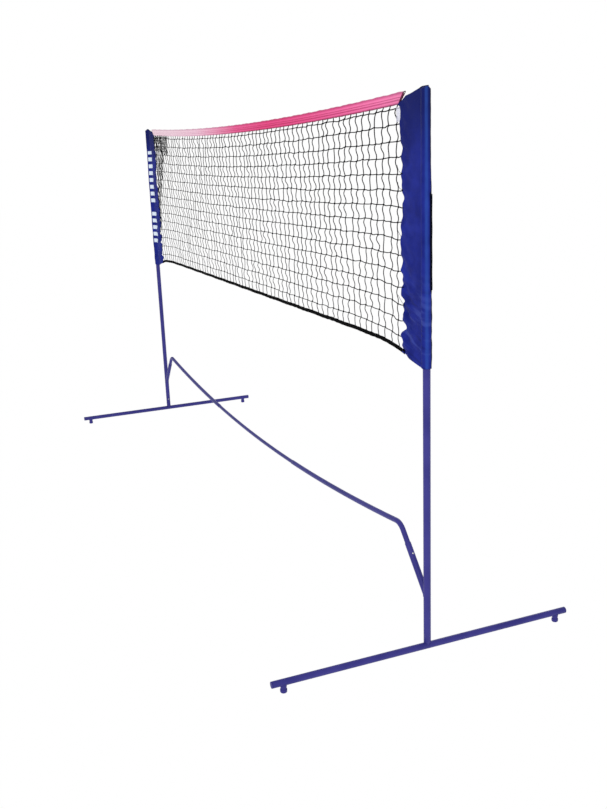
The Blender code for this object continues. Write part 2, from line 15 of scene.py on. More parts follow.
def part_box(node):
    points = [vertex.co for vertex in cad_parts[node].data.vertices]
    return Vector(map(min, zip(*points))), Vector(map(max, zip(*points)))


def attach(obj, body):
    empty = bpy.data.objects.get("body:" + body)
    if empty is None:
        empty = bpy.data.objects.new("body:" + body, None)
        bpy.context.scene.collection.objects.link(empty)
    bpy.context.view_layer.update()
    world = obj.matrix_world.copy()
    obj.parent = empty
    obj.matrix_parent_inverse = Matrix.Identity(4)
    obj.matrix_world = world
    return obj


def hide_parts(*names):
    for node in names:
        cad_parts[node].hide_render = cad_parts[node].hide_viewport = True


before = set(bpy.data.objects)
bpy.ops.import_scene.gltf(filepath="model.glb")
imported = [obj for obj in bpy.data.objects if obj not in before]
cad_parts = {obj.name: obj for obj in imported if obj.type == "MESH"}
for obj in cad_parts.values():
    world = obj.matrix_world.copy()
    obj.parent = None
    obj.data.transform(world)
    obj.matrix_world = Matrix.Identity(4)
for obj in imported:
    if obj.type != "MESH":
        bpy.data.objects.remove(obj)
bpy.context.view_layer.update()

SIDES = {"left": -1, "right": 1}
ENDS = {"front": -1, "rear": 1}
TURN = 2 * math.pi


def middle_of(node):
    low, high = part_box(node)
    return (low + high) / 2


def radius_of(node):
    """Outer radius of a tube that is round about a line in the plane Y = 0."""
    low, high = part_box(node)
    return (high.y - low.y) / 2


# Places and sizes that the frame settles
POST_X = middle_of("upper_post_right").x
POST_RADIUS = radius_of("upper_post_right")
POST_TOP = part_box("post_cap_right")[1].z
POST_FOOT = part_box("lower_post_right")[0].z
POST_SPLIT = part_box("lower_post_right")[1].z
BAR_AXIS_Z = middle_of("foot_bar_right").z
BAR_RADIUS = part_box("foot_bar_right")[1].z - BAR_AXIS_Z
BAR_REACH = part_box("foot_bar_right")[1].y
STUB_RADIUS = radius_of("brace_stub_right")
ELBOW_RADIUS = radius_of("elbow_tube_right")
CENTRE_RADIUS = radius_of("crossbar_centre_tube")
CENTRE_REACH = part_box("crossbar_centre_tube")[1].x
SPIGOT_RADIUS = radius_of("post_spigot_right")
SECTION_JOINT_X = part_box("elbow_tube_right")[0].x
NET_END_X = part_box("net_mesh")[1].x
SLEEVE_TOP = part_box("sleeve_right")[1].z
SLEEVE_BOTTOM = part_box("sleeve_right")[0].z
BASE_BUTTON_Z = middle_of("base_button_right").z
MID_BUTTON_Z = middle_of("mid_button_right").z
RIVET_Z = middle_of("ferrule_rivet_right").z
STRIP_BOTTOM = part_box("closure_strip_right")[0].z
STRIP_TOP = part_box("closure_strip_right")[1].z

# The stand's shape
TUBE_WALL, SPIGOT_WALL, STUB_WALL, CROSSBAR_WALL = 0.0011, 0.0012, 0.00099, 0.0009
TUBE_EDGE = 0.0003
STATION_SPACING, HOLE_MARGIN = 0.06, 0.006
CAP_THICKNESS = 0.003
BRACE_FOOT_Z = 0.186
BRACE_ANGLE = math.radians(47.3)
STUB_LENGTH = 0.168
ELBOW_START = 0.070
CROSSBAR_MID_Z, CROSSBAR_RISE, CROSSBAR_HALF_SPAN = 0.275, 0.083, 1.34
BEND_RADIUS = 0.050
BRACE_BUTTON_REACH = 0.131
BUTTON_RADIUS, BUTTON_HOLE_RADIUS = 0.0029, 0.0033
BUTTON_PROUD, DOME_HEIGHT = 0.0015, 0.0011
FLANGE_RADIUS, FLANGE_THICKNESS, FLANGE_DEPTH = 0.0040, 0.0009, 0.0016
FOOT_RADIUS, FOOT_INSET = 0.010, 0.036
WELD_RADIUS = 0.0013

# The net's shape
TAPE_MID_TOP, TAPE_SAG = 1.546, 0.030
TAPE_HEIGHT = 0.0312
TAPE_CHANNELS = (0.0138, 0.0200, 0.0288)
TAPE_TOP_END_X, TAPE_BOTTOM_END_X = 1.392, 1.360
BAND_MID_Z, BAND_END_DROP, BAND_DROP_LENGTH = 0.9035, 0.0195, 0.085
BAND_HEIGHT, BAND_THICKNESS = 0.0124, 0.0030
HEADLINE_RADIUS, HEADLINE_DROP, HEADLINE_TUCK = 0.0016, 0.0042, 0.020
KNOT_ROWS, KNOT_COLUMNS = 15, 66
KNOT_END_X = 1.345
KNOT_WANDER, KNOT_JITTER = 0.0011, 0.0012
TIE_PITCH = 0.0414
FIRST_ROW_DROP, LAST_ROW_RISE = 0.0106, 0.0370
TWINE_TOP_RADIUS, TWINE_BOTTOM_RADIUS = 0.00150, 0.00118
GATHER_RADIUS, GATHER_STEPS = 0.00142, 61
TIE_THREAD_RADIUS = 0.00055
SLEEVE_INNER_X = 1.3685
SLEEVE_INNER_BOTTOM = 0.8815
POCKET_RADIUS = 0.0134
POCKET_SEAM = 0.0255
POCKET_HEM_RISE = 0.0045
WEB_GAP = 0.0011
WEB_COLUMNS = 43
FIRST_TIE_Z, LAST_TIE_Z = 0.888, 1.536
SLEEVE_TIP_X, SLEEVE_TIP_Z = 1.357, 1.5455
PEAK_END_X = 1.5115
# X and Z along the sleeve's top edge, from its tip beside the tape to its flat peak over the post
TOP_OUTLINE = [
    (SLEEVE_TIP_X, SLEEVE_TIP_Z),
    (1.398, 1.5640),
    (1.424, 1.5680),
    (1.448, 1.5735),
    (1.482, SLEEVE_TOP),
]


def tape_top(x):
    """Height of the tape's upper edge: a shallow parabola that is lowest at midspan."""
    return TAPE_MID_TOP + TAPE_SAG * (x / NET_END_X) ** 2


def band_middle(x):
    """Height of the bottom band: level, with an exponential drop towards each sleeve."""
    return BAND_MID_Z - BAND_END_DROP * np.exp((np.abs(x) - NET_END_X) / BAND_DROP_LENGTH)


def crossbar_height(x):
    return CROSSBAR_MID_Z + CROSSBAR_RISE * (x / CROSSBAR_HALF_SPAN) ** 2


def smoothstep(value, low, high):
    """0 below low, 1 above high, and 3t^2 - 2t^3 between them."""
    t = np.clip((np.asarray(value, float) - low) / (high - low), 0, 1)
    return t * t * (3 - 2 * t)


# Camera and light

CAMERA_PLACE = Vector((3.6342, -1.2161, 1.4339))
CAMERA_YAW, CAMERA_PITCH, CAMERA_ROLL = map(math.radians, (21.851, 15.194, -2.189))
CAMERA_LENS, CAMERA_SENSOR = 41.376, 36.0
SKY_LIGHT, KEY_POWER = 0.65, 210.0


def make_camera():
    """Looks along -X, turned by the yaw towards +Y, dipped by the pitch and rolled about its sight."""
    level = math.cos(CAMERA_PITCH)
    ahead = Vector((-math.cos(CAMERA_YAW) * level, math.sin(CAMERA_YAW) * level, -math.sin(CAMERA_PITCH)))
    flat_right = ahead.cross(Vector((0, 0, 1))).normalized()
    flat_up = flat_right.cross(ahead)
    right = flat_right * math.cos(CAMERA_ROLL) + flat_up * math.sin(CAMERA_ROLL)
    up = flat_up * math.cos(CAMERA_ROLL) - flat_right * math.sin(CAMERA_ROLL)
    camera = bpy.data.objects.new("camera", bpy.data.cameras.new("camera"))
    camera.data.lens = CAMERA_LENS
    camera.data.sensor_width = CAMERA_SENSOR
    axes = Matrix((right, up, -ahead)).transposed().to_4x4()
    camera.matrix_world = Matrix.Translation(CAMERA_PLACE) @ axes
    bpy.context.scene.collection.objects.link(camera)
    bpy.context.scene.camera = camera


def make_area_light(name, place, target, size, power):
    lamp = bpy.data.objects.new(name, bpy.data.lights.new(name, "AREA"))
    lamp.data.size = size
    lamp.data.energy = power
    lamp.location = place
    lamp.rotation_mode = "QUATERNION"
    lamp.rotation_quaternion = (Vector(target) - Vector(place)).to_track_quat("-Z", "Y")
    bpy.context.scene.collection.objects.link(lamp)


def make_studio():
    """A white sky that lights the object a little less than it shows, a key light beside the camera
    and a weaker one behind. The floor glows as white as the sky."""
    world = bpy.data.worlds.new("studio")
    bpy.context.scene.world = world
    world.use_nodes = True
    graph = Graph(world.node_tree)
    background = graph.tree.nodes["Background"]
    background.inputs["Color"].default_value = (1.0, 1.0, 1.0, 1.0)
    seen = graph.node("ShaderNodeLightPath", output="Is Camera Ray")
    strength = seen * (1.0 - SKY_LIGHT) + SKY_LIGHT
    graph.tree.links.new(strength.output, background.inputs["Strength"])
    make_area_light("key_light", (6.0, -4.2, 4.2), (0.3, 0, 0.9), 3.0, KEY_POWER)
    make_area_light("back_light", (-5.0, 4.5, 3.6), (0, 0, 0.9), 3.0, KEY_POWER * 0.4)
    bpy.context.scene.view_settings.view_transform = "Standard"


# Materials


def srgb(red, green, blue):
    """A linear colour from 0-255 display values."""
    shares = (red / 255, green / 255, blue / 255)
    return tuple(((v + 0.055) / 1.055) ** 2.4 if v > 0.04045 else v / 12.92 for v in shares)


def adds_maths(operation):
    """A method that adds a Math node with the socket as its first value."""
    return lambda self, *others: self.maths(operation, self, *others)


class Socket:
    """The output of a shader node. Arithmetic on it adds Math nodes to its graph."""

    def __init__(self, graph, output):
        self.graph = graph
        self.output = output

    def maths(self, operation, *values):
        return self.graph.node("ShaderNodeMath", {"operation": operation}, dict(enumerate(values)))

    def __rsub__(self, other):
        return self.maths("SUBTRACT", other, self)

    __add__ = __radd__ = adds_maths("ADD")
    __sub__ = adds_maths("SUBTRACT")
    __mul__ = __rmul__ = adds_maths("MULTIPLY")
    __truediv__ = adds_maths("DIVIDE")
    __mod__ = adds_maths("FLOORED_MODULO")
    __abs__ = adds_maths("ABSOLUTE")
    sine = adds_maths("SINE")

    def step(self, low, high):
        """0 below low and 1 above high, smooth between, or the reverse where low is above high."""
        inputs = {0: self, 1: low, 2: high, 3: 0.0, 4: 1.0}
        return self.graph.node("ShaderNodeMapRange", {"interpolation_type": "SMOOTHSTEP"}, inputs)


class Graph:
    """A node tree, and the one method that adds nodes to it."""

    def __init__(self, tree):
        self.tree = tree

    def node(self, kind, settings=None, inputs=None, output=0):
        """Add a node: its settings first, then a value or a link for each socket named or numbered."""
        made = self.tree.nodes.new(kind)
        for key, value in (settings or {}).items():
            if key == "stops":
                self.fill_ramp(made.color_ramp, value)
            else:
                setattr(made, key, value)
        for key, value in (inputs or {}).items():
            if isinstance(value, Socket):
                self.tree.links.new(value.output, made.inputs[key])
            else:
                made.inputs[key].default_value = value
        return Socket(self, made.outputs[output])

    def fill_ramp(self, ramp, stops):
        while len(ramp.elements) < len(stops):
            ramp.elements.new(0.5)
        for element, (place, colour) in zip(ramp.elements, stops):
            element.position = place
            element.color = (*colour, 1.0)


class Finish(Graph):
    """A material: one Principled BSDF and the nodes that feed it."""

    def __init__(self, name, **constants):
        self.material = bpy.data.materials.new(name)
        self.material.use_nodes = True
        super().__init__(self.material.node_tree)
        self.shader = self.tree.nodes["Principled BSDF"]
        for key, value in constants.items():
            self.shader.inputs[key.replace("_", " ")].default_value = value

    def feed(self, **sockets):
        for key, socket in sockets.items():
            self.tree.links.new(socket.output, self.shader.inputs[key.replace("_", " ")])
        return self.material

    def place(self):
        return self.node("ShaderNodeTexCoord", output="Object")

    def cloth_place(self):
        return self.node("ShaderNodeUVMap", {"uv_map": "UVMap"})

    def parts(self, vector):
        """The three numbers of a vector."""
        split = self.node("ShaderNodeSeparateXYZ", inputs={0: vector})
        outputs = split.output.node.outputs
        return [Socket(self, outputs[index]) for index in range(3)]

    def noise(self, vector, scale, detail, roughness=0.5):
        inputs = {"Vector": vector, "Scale": scale, "Detail": detail, "Roughness": roughness}
        return self.node("ShaderNodeTexNoise", inputs=inputs)

    def stretched(self, vector, scale):
        return self.node("ShaderNodeMapping", inputs={"Vector": vector, "Scale": scale})

    def mix(self, share, first, second):
        """The first colour where share is 0 and the second where it is 1."""
        colours = [c if isinstance(c, Socket) else (*c, 1.0) for c in (first, second)]
        inputs = {0: share, 6: colours[0], 7: colours[1]}
        return self.node("ShaderNodeMix", {"data_type": "RGBA"}, inputs, output=2)

    def bump(self, height, distance, strength):
        inputs = {"Height": height, "Distance": distance, "Strength": strength}
        return self.node("ShaderNodeBump", inputs=inputs)


def weave(across, along, pitch):
    """Plain weave from -1 to 1: threads along one way rise where those along the other dip."""
    wave = TURN / (2 * pitch)
    return (across * wave).sine() * (along * wave).sine()


def stitches(line_distance, along, width, pitch):
    """1 on a dashed line of thread: near the line and on the first two thirds of each stitch."""
    near = abs(line_distance).step(width, width * 0.5)
    dash = abs((along / pitch) % 1.0 - 0.5).step(0.38, 0.30)
    return near * dash


def coated(name, deep, pale, grain, gloss):
    """Colour with a soft cloudiness, a fine surface grain and small pale scuffs near the floor."""
    coat = Finish(name, Specular_IOR_Level=0.16, Coat_Weight=0.03, Coat_Roughness=0.25)
    place = coat.place()
    height = coat.parts(place)[2]
    cloud = coat.noise(place, 11.0, 3.0)
    specks = coat.noise(place, 160.0, 5.0, 0.65).step(0.66, 0.74)
    wear_and_shade = specks * height.step(0.16, 0.0) * 0.45
    paint = coat.mix(cloud.step(0.35, 0.65), deep, pale)
    grains = coat.noise(place, grain, 2.0)
    return coat.feed(
        Base_Color=coat.mix(wear_and_shade, paint, srgb(150, 148, 190)),
        Roughness=gloss + cloud * 0.12 + wear_and_shade * 0.3,
        Normal=coat.bump(grains, 0.00006, 0.6),
    )


def plated(name, colour, gloss):
    """Bright metal with fine drawn lines along its length and a faint bloom."""
    metal = Finish(name, Metallic=1.0)
    place = metal.place()
    lines = metal.noise(metal.stretched(place, (900.0, 900.0, 60.0)), 1.0, 3.0)
    bloom = metal.noise(place, 140.0, 4.0)
    dull = tuple(c * 0.72 for c in colour)
    return metal.feed(
        Base_Color=metal.mix(bloom.step(0.45, 0.7) * 0.6, colour, dull),
        Roughness=gloss + lines * 0.14 + bloom * 0.08,
        Normal=metal.bump(lines, 0.00003, 0.4),
    )


def weld_metal():
    """The bead is painted with the tube, over scaly ripples that stay in its shape."""
    return coated("painted_weld", srgb(49, 47, 119), srgb(59, 57, 131), 500.0, 0.40)


PRINT_WIDTH, PRINT_PITCH = 0.052, 0.036
PRINT_TOP, PRINT_BOTTOM = 1.468, 0.975
PRINT_CENTRE_X = -1.4655
SLEEVE_HALF_GIRTH = 0.1545
SLEEVE_STITCH, TAPE_STITCH = (0.0006, 0.0042), (0.0005, 0.0035)
TOP_SEAM_Z = 1.556


def sleeve_cloth(name, printed):
    """Royal blue woven polyester. It is darker towards its top, with a painted highlight down the front
    of the pocket where it is drawn tight over the post, painted light and shade of long shallow folds near
    its hem, and painted shade down the outer side of its pocket. A printed sleeve carries a column of plain
    white bars."""
    cloth = Finish(name, Specular_IOR_Level=0.05, Sheen_Weight=0.02, Sheen_Roughness=0.4)
    across, along, _ = cloth.parts(cloth.cloth_place())
    x, y, z = cloth.parts(cloth.place())
    threads = weave(across, along, 0.0007)
    slub = cloth.noise(cloth.stretched(cloth.cloth_place(), (220.0, 26.0, 1.0)), 1.0, 3.0)
    cloud = cloth.noise(cloth.place(), 14.0, 4.0, 0.6)
    body = cloth.mix(cloud.step(0.3, 0.72), srgb(21, 30, 112), srgb(34, 45, 141))
    topped = cloth.mix(z.step(1.36, 1.56) * 0.85, body, srgb(17, 25, 86))
    # Painted light and shade of long shallow folds near the hem: paler on their ridges, darker in their
    # hollows
    slope = (z + abs(x) * 0.35) * 46.0
    fall = cloth.node("ShaderNodeCombineXYZ", inputs={0: x * 9.0, 1: y * 4.0, 2: slope})
    folds = cloth.noise(fall, 1.0, 3.0, 0.55)
    low = z.step(1.14, 1.02)
    fold_lit_and_shaded = cloth.mix(folds.step(0.50, 0.68) * low * 0.55, topped, srgb(62, 76, 160))
    fold_lit_and_shaded = cloth.mix(folds.step(0.46, 0.34) * low * 0.50, fold_lit_and_shaded, srgb(18, 24, 88))
    turn = cloth.node("ShaderNodeMath", {"operation": "ARCTAN2"}, {0: y, 1: abs(x) - POST_X})
    round_post = abs(abs(x) - POST_X).step(0.020, 0.0165)
    # Painted highlight down the front of the pocket, where the cloth is drawn tight over the post
    painted_highlight = abs(turn + 0.45).step(0.55, 0.10) * round_post * (0.30 + slub * 0.5)
    lit = cloth.mix(painted_highlight * 0.75, fold_lit_and_shaded, srgb(46, 84, 170))
    # Painted shade down the outer side of the pocket, a little wider beside the fastening strip
    strapped = z.step(STRIP_BOTTOM - 0.01, STRIP_BOTTOM) * z.step(STRIP_TOP + 0.01, STRIP_TOP)
    wider = strapped * 0.12
    seam = abs(turn - 0.95 + wider).step(0.60 + wider, 0.44 + wider) * round_post
    edge_shaded = cloth.mix(seam * (0.85 + strapped * 0.15), lit, srgb(4, 8, 34))
    sewn = stitches(abs(x) - (POST_X - POCKET_SEAM), along, *SLEEVE_STITCH)
    sewn = sewn + stitches(z - TOP_SEAM_Z, across, *SLEEVE_STITCH)
    colour = cloth.mix(sewn * 0.5, edge_shaded, srgb(18, 24, 92))
    if printed:
        row = abs(((z - PRINT_BOTTOM) / PRINT_PITCH) % 1.0 - 0.5).step(0.30, 0.25)
        column = abs(x - PRINT_CENTRE_X).step(PRINT_WIDTH / 2 + 0.0008, PRINT_WIDTH / 2)
        band = z.step(PRINT_BOTTOM, PRINT_BOTTOM + 0.001) * z.step(PRINT_TOP, PRINT_TOP - 0.001)
        gap = abs(z - 1.170).step(0.018, 0.020)
        front = across.step(SLEEVE_HALF_GIRTH + 0.001, SLEEVE_HALF_GIRTH)
        colour = cloth.mix(row * column * band * gap * front * 0.95, colour, srgb(226, 238, 250))
    height = threads * 0.5 + slub * 0.6 - sewn * 0.5
    return cloth.feed(
        Base_Color=colour,
        Roughness=0.60 + cloud * 0.15,
        Normal=cloth.bump(height, 0.00016, 0.5),
    )


# Along X: the tape's colour, and its colour under the painted shade of its stitched channels
TAPE_SHADES = [
    (-1.40, (246, 220, 230), (230, 196, 210)),
    (-0.95, (246, 215, 227), (230, 194, 210)),
    (-0.55, (244, 203, 220), (226, 174, 199)),
    (-0.28, (240, 164, 193), (214, 126, 164)),
    (0.00, (236, 98, 153), (200, 64, 118)),
    (0.35, (234, 76, 136), (188, 36, 94)),
    (0.70, (236, 90, 148), (186, 42, 98)),
    (1.00, (242, 108, 164), (180, 46, 102)),
    (1.25, (246, 126, 178), (188, 68, 120)),
    (1.40, (240, 130, 176), (170, 86, 126)),
]
# Down from the tape's top edge, in metres: how far its colour goes towards the painted shade of the
# channels
TAPE_LINES = [
    (0.0000, 0.30),
    (0.0030, 0.75),
    (0.0060, 0.45),
    (0.0095, 0.00),
    (0.0118, 0.00),
    (0.0138, 0.90),
    (0.0160, 0.00),
    (0.0178, 0.10),
    (0.0200, 1.00),
    (0.0222, 0.30),
    (0.0240, 0.00),
    (0.0268, 0.40),
    (0.0292, 1.00),
]


def tape_cloth():
    """Pink tape that fades towards the left end, with painted shade in its stitched channels and along its
    lower edge, and a painted dark maroon shadow along each end, where it is sewn under a sleeve."""
    cloth = Finish("pink_tape", Specular_IOR_Level=0.06, Sheen_Weight=0.02, Sheen_Roughness=0.5)
    across, along, _ = cloth.parts(cloth.cloth_place())
    x, _, z = cloth.parts(cloth.place())
    first, last = TAPE_SHADES[0][0], TAPE_SHADES[-1][0]
    reach = (x - first) / (last - first)
    stops = [
        [((place - first) / (last - first), srgb(*pair[k])) for place, *pair in TAPE_SHADES] for k in (0, 1)
    ]
    dyed, deep = (cloth.node("ShaderNodeValToRGB", {"stops": row}, {0: reach}) for row in stops)
    crown = x / NET_END_X
    depth = (TAPE_MID_TOP + crown * crown * TAPE_SAG) - z
    line_stops = [(place / TAPE_HEIGHT, (share, share, share)) for place, share in TAPE_LINES]
    lines = cloth.node("ShaderNodeValToRGB", {"stops": line_stops}, {0: depth / TAPE_HEIGHT})
    slub = cloth.noise(cloth.stretched(cloth.cloth_place(), (420.0, 9.0, 1.0)), 1.0, 3.0)
    patchy = cloth.noise(cloth.place(), 26.0, 3.0)
    # Painted shade in the stitched channels, which also darkens the tape near its top and bottom edges
    channel_shaded = cloth.mix(lines * (0.80 + patchy * 0.6), dyed, deep)
    topped = cloth.mix(depth.step(0.0050, 0.0010) * 0.35, channel_shaded, srgb(176, 122, 150))
    # Painted shade along the tape's lower edge, fading out towards the left end
    hem = depth.step(0.0272, 0.0298) * (x + 0.6).step(0.0, 0.8)
    wear_and_shade = cloth.mix(hem * 0.55, topped, srgb(96, 34, 66))
    slant = TAPE_TOP_END_X - abs(x) - depth * ((TAPE_TOP_END_X - TAPE_BOTTOM_END_X) / TAPE_HEIGHT)
    # Painted dark maroon shadow along each slanted end, where it is sewn under a sleeve
    end_shadow = slant.step(0.0070, 0.0030)
    stitch = sum(stitches(depth - place, along, *TAPE_STITCH) for place in TAPE_CHANNELS)
    colour = cloth.mix(end_shadow * 0.9, wear_and_shade, srgb(50, 6, 36))
    threads = weave(across, along, 0.0006)
    return cloth.feed(
        Base_Color=cloth.mix(stitch * 0.15, colour, srgb(246, 190, 215)),
        Roughness=0.68 + slub * 0.12,
        Normal=cloth.bump(threads * 0.4 + slub - lines * 0.8, 0.00018, 0.6),
    )


def spun(name, dark, pale, pitch):
    """Twisted yarn: slanting strands round the string, from a pattern on its girth and length."""
    yarn = Finish(name, Specular_IOR_Level=0.04)
    girth, length, _ = yarn.parts(yarn.cloth_place())
    strands = ((girth + length / pitch) * (2 * TURN)).sine()
    fluff = yarn.noise(yarn.place(), 1400.0, 3.0)
    shade = strands.step(-0.8, 0.9) * 0.6 + fluff * 0.4
    return yarn.feed(
        Base_Color=yarn.mix(shade, dark, pale),
        Roughness=0.78 + fluff * 0.12,
        Normal=yarn.bump(strands + fluff * 0.5, 0.00022, 0.7),
    )


def woven_band(name, dark, pale, pitch):
    """Narrow webbing in a plain weave, a little dusty on its high threads."""
    band = Finish(name, Specular_IOR_Level=0.04)
    across, along, _ = band.parts(band.cloth_place())
    threads = weave(across, along, pitch)
    dust = band.noise(band.place(), 60.0, 4.0)
    return band.feed(
        Base_Color=band.mix(threads.step(-0.6, 0.9) * 0.5 + dust * 0.4, dark, pale),
        Roughness=0.80 + dust * 0.12,
        Normal=band.bump(threads + dust * 0.5, 0.00025, 0.7),
    )


def hook_and_loop():
    """Black fastening strip covered in short curled fibres."""
    strip = Finish("black_hook_and_loop", Specular_IOR_Level=0.04)
    place = strip.place()
    fibres = strip.noise(place, 2200.0, 4.0, 0.7)
    patches = strip.noise(place, 90.0, 3.0)
    return strip.feed(
        Base_Color=strip.mix(fibres * 0.6 + patches * 0.3, srgb(3, 4, 9), srgb(20, 22, 34)),
        Roughness=0.88 + patches * 0.1,
        Normal=strip.bump(fibres, 0.0005, 0.8),
    )


def sheer_gauze(name, dark, pale, cover):
    """Sheer gauze: open between its threads."""
    gauze = Finish(name, Specular_IOR_Level=0.10)
    across, along, _ = gauze.parts(gauze.cloth_place())
    threads = weave(across, along, 0.0008)
    cloud = gauze.noise(gauze.place(), 120.0, 3.0)
    return gauze.feed(
        Base_Color=gauze.mix(cloud, dark, pale),
        Alpha=cover + threads * 0.12 + cloud * 0.2,
        Roughness=0.70 + cloud * 0.1,
        Normal=gauze.bump(threads, 0.0002, 0.5),
    )


def floor_paper():
    """Backlit white paper: it gives its own even light, with a barely visible grain."""
    paper = Finish("white_paper", Specular_IOR_Level=0.0, Emission_Strength=1.0)
    grain = paper.noise(paper.place(), 30.0, 2.0)
    return paper.feed(
        Base_Color=paper.mix(grain, (0.0, 0.0, 0.0), (0.002, 0.002, 0.002)),
        Emission_Color=paper.mix(grain, (0.998, 0.998, 0.998), (1.0, 1.0, 1.0)),
        Roughness=0.9 + grain * 0.05,
    )


# Meshes from grids


def grid_mesh(name, points, wrap=(False, False), capped=False, uv=None, crease=50.0):
    """Quads over points[strand, row, column]. A wrapped direction joins its last line to its first,
    and capped closes the first and last row with one polygon each. uv[row, column] has one more
    line in each wrapped direction. Seen from outside, columns run to the right and rows upwards."""
    points = np.asarray(points, float)
    points = points[None] if points.ndim == 3 else points
    strands, rows, columns, _ = points.shape
    i, j = np.meshgrid(np.arange(rows - (not wrap[0])), np.arange(columns - (not wrap[1])), indexing="ij")
    corner_rows = np.stack([i, i, i + 1, i + 1], -1).reshape(-1, 4)
    corner_columns = np.stack([j, j + 1, j + 1, j], -1).reshape(-1, 4)
    quads = (corner_rows % rows) * columns + corner_columns % columns
    first = (np.arange(strands) * rows * columns)[:, None, None]
    faces = [(quads[None] + first).reshape(-1, 4)]
    if capped:
        ring = np.arange(columns)
        ends = np.stack([ring[::-1], (rows - 1) * columns + ring])
        faces.append((ends[None] + first).reshape(-1, columns))
    mesh = bpy.data.meshes.new(name)
    mesh.vertices.add(strands * rows * columns)
    mesh.vertices.foreach_set("co", points.astype(np.float32).ravel())
    corners = np.concatenate([block.ravel() for block in faces])
    sizes = np.concatenate([np.full(len(block), block.shape[1]) for block in faces])
    mesh.loops.add(len(corners))
    mesh.loops.foreach_set("vertex_index", corners.astype(np.int32))
    mesh.polygons.add(len(sizes))
    mesh.polygons.foreach_set("loop_start", (np.cumsum(sizes) - sizes).astype(np.int32))
    if uv is not None:
        uv = np.broadcast_to(uv, (strands, *uv.shape[-3:]))
        spots = uv[:, corner_rows, corner_columns].reshape(-1, 2)
        rest = np.zeros((len(corners) - len(spots), 2))
        layer = mesh.uv_layers.new(name="UVMap")
        layer.data.foreach_set("uv", np.concatenate([spots, rest]).astype(np.float32).ravel())
    mesh.update(calc_edges=True)
    mesh.validate()
    mesh.shade_smooth()
    mesh.set_sharp_from_angle(angle=math.radians(crease))
    return mesh


def weld(mesh, crease):
    """Merge the points of each pole, and drop the faces that vanish there."""
    shape = bmesh.new()
    shape.from_mesh(mesh)
    bmesh.ops.remove_doubles(shape, verts=shape.verts, dist=1e-6)
    bmesh.ops.dissolve_degenerate(shape, edges=shape.edges, dist=1e-7)
    shape.to_mesh(mesh)
    shape.free()
    mesh.set_sharp_from_angle(angle=math.radians(crease))
    return mesh


def add_piece(mesh, material, body, stands_for=()):
    """Put a finished mesh in the scene, on the body that carries it."""
    piece = bpy.data.objects.new(mesh.name, mesh)
    bpy.context.scene.collection.objects.link(piece)
    mesh.materials.append(material)
    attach(piece, body)
    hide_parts(*stands_for)
    return piece


def add_cloth(name, points, uv, material, slot, node, thickness, offset=-1.0):
    """A thin piece of the net over a grid of points, with its thickness behind them where offset
    is -1 and in front of them where it is 1."""
    mesh = grid_mesh(name, points, uv=uv, crease=80.0)
    piece = add_piece(mesh, material, "net", [node])
    shell = piece.modifiers.new("cloth_thickness", "SOLIDIFY")
    shell.thickness = thickness
    shell.offset = offset
    shell.use_even_offset = True
    return piece


def unit(vectors):
    return vectors / np.linalg.norm(vectors, axis=-1, keepdims=True)


def points_of(*coordinates):
    """Points from their coordinates: each one an array or one number for them all."""
    return np.stack(np.broadcast_arrays(*coordinates), -1)


def travelled(*coordinates):
    """Distance along an outline from its first point."""
    return np.concatenate([[0], np.cumsum(np.hypot(*np.diff(coordinates)))])


def full_turn(count):
    """Angles once round a circle, without the last, which is the first again."""
    return TURN * np.arange(count) / count


def sweep(paths, radius, sides, across=(0.0, 1.0, 0.0), flatness=1.0):
    """Rings round paths[..., point, xyz]: point + radius (cos a n + flatness sin a b), where n is
    across made square to the path's tangent t, b = t x n, and a runs once round."""
    paths = np.asarray(paths, float)
    tangent = unit(np.gradient(paths, axis=-2))
    across = np.broadcast_to(np.asarray(across, float), tangent.shape)
    normal = unit(across - (across * tangent).sum(-1, keepdims=True) * tangent)
    other = np.cross(tangent, normal)
    angle = full_turn(sides)
    radius = np.broadcast_to(np.asarray(radius, float), paths.shape[:-1])[..., None, None]
    ring = np.cos(angle)[:, None] * normal[..., None, :]
    ring = ring + flatness * np.sin(angle)[:, None] * other[..., None, :]
    return paths[..., None, :] + radius * ring


def string_uv(paths, sides):
    """Girth from 0 to 1 across, and length in metres along each path."""
    paths = np.asarray(paths, float)
    steps = np.linalg.norm(np.diff(paths, axis=-2), axis=-1)
    length = np.concatenate([np.zeros((*steps.shape[:-1], 1)), np.cumsum(steps, axis=-1)], axis=-1)
    girth = np.broadcast_to(np.arange(sides + 1) / sides, (*length.shape, sides + 1))
    return np.stack([girth, np.broadcast_to(length[..., None], girth.shape)], -1)


def string_mesh(name, paths, radius, sides):
    """Round strings with closed ends, one along each path."""
    rings = sweep(paths, radius, sides)
    return grid_mesh(name, rings, (False, True), capped=True, uv=string_uv(paths, sides), crease=80.0)


def tube_mesh(name, path, radius, wall=TUBE_WALL, sides=48, across=(0.0, 1.0, 0.0)):
    """A hollow tube: the outer skin along the path, then the inner skin back, joined at both ends
    with small rounded edges."""
    path = np.asarray(path, float)
    start, end = unit(path[1] - path[0]), unit(path[-1] - path[-2])
    inset = TUBE_EDGE * np.array([[0.0], [0.3], [1.0]])
    line = np.concatenate([path[0] + inset * start, path[1:-1], path[-1] - inset[::-1] * end])
    trim = np.zeros(len(line))
    trim[[0, -1]] = TUBE_EDGE
    trim[[1, -2]] = TUBE_EDGE * 0.3
    outer = sweep(line, radius - trim, sides, across)
    inner = sweep(line, radius - wall + trim, sides, across)[::-1]
    return grid_mesh(name, np.concatenate([outer, inner]), (True, True), crease=60.0)


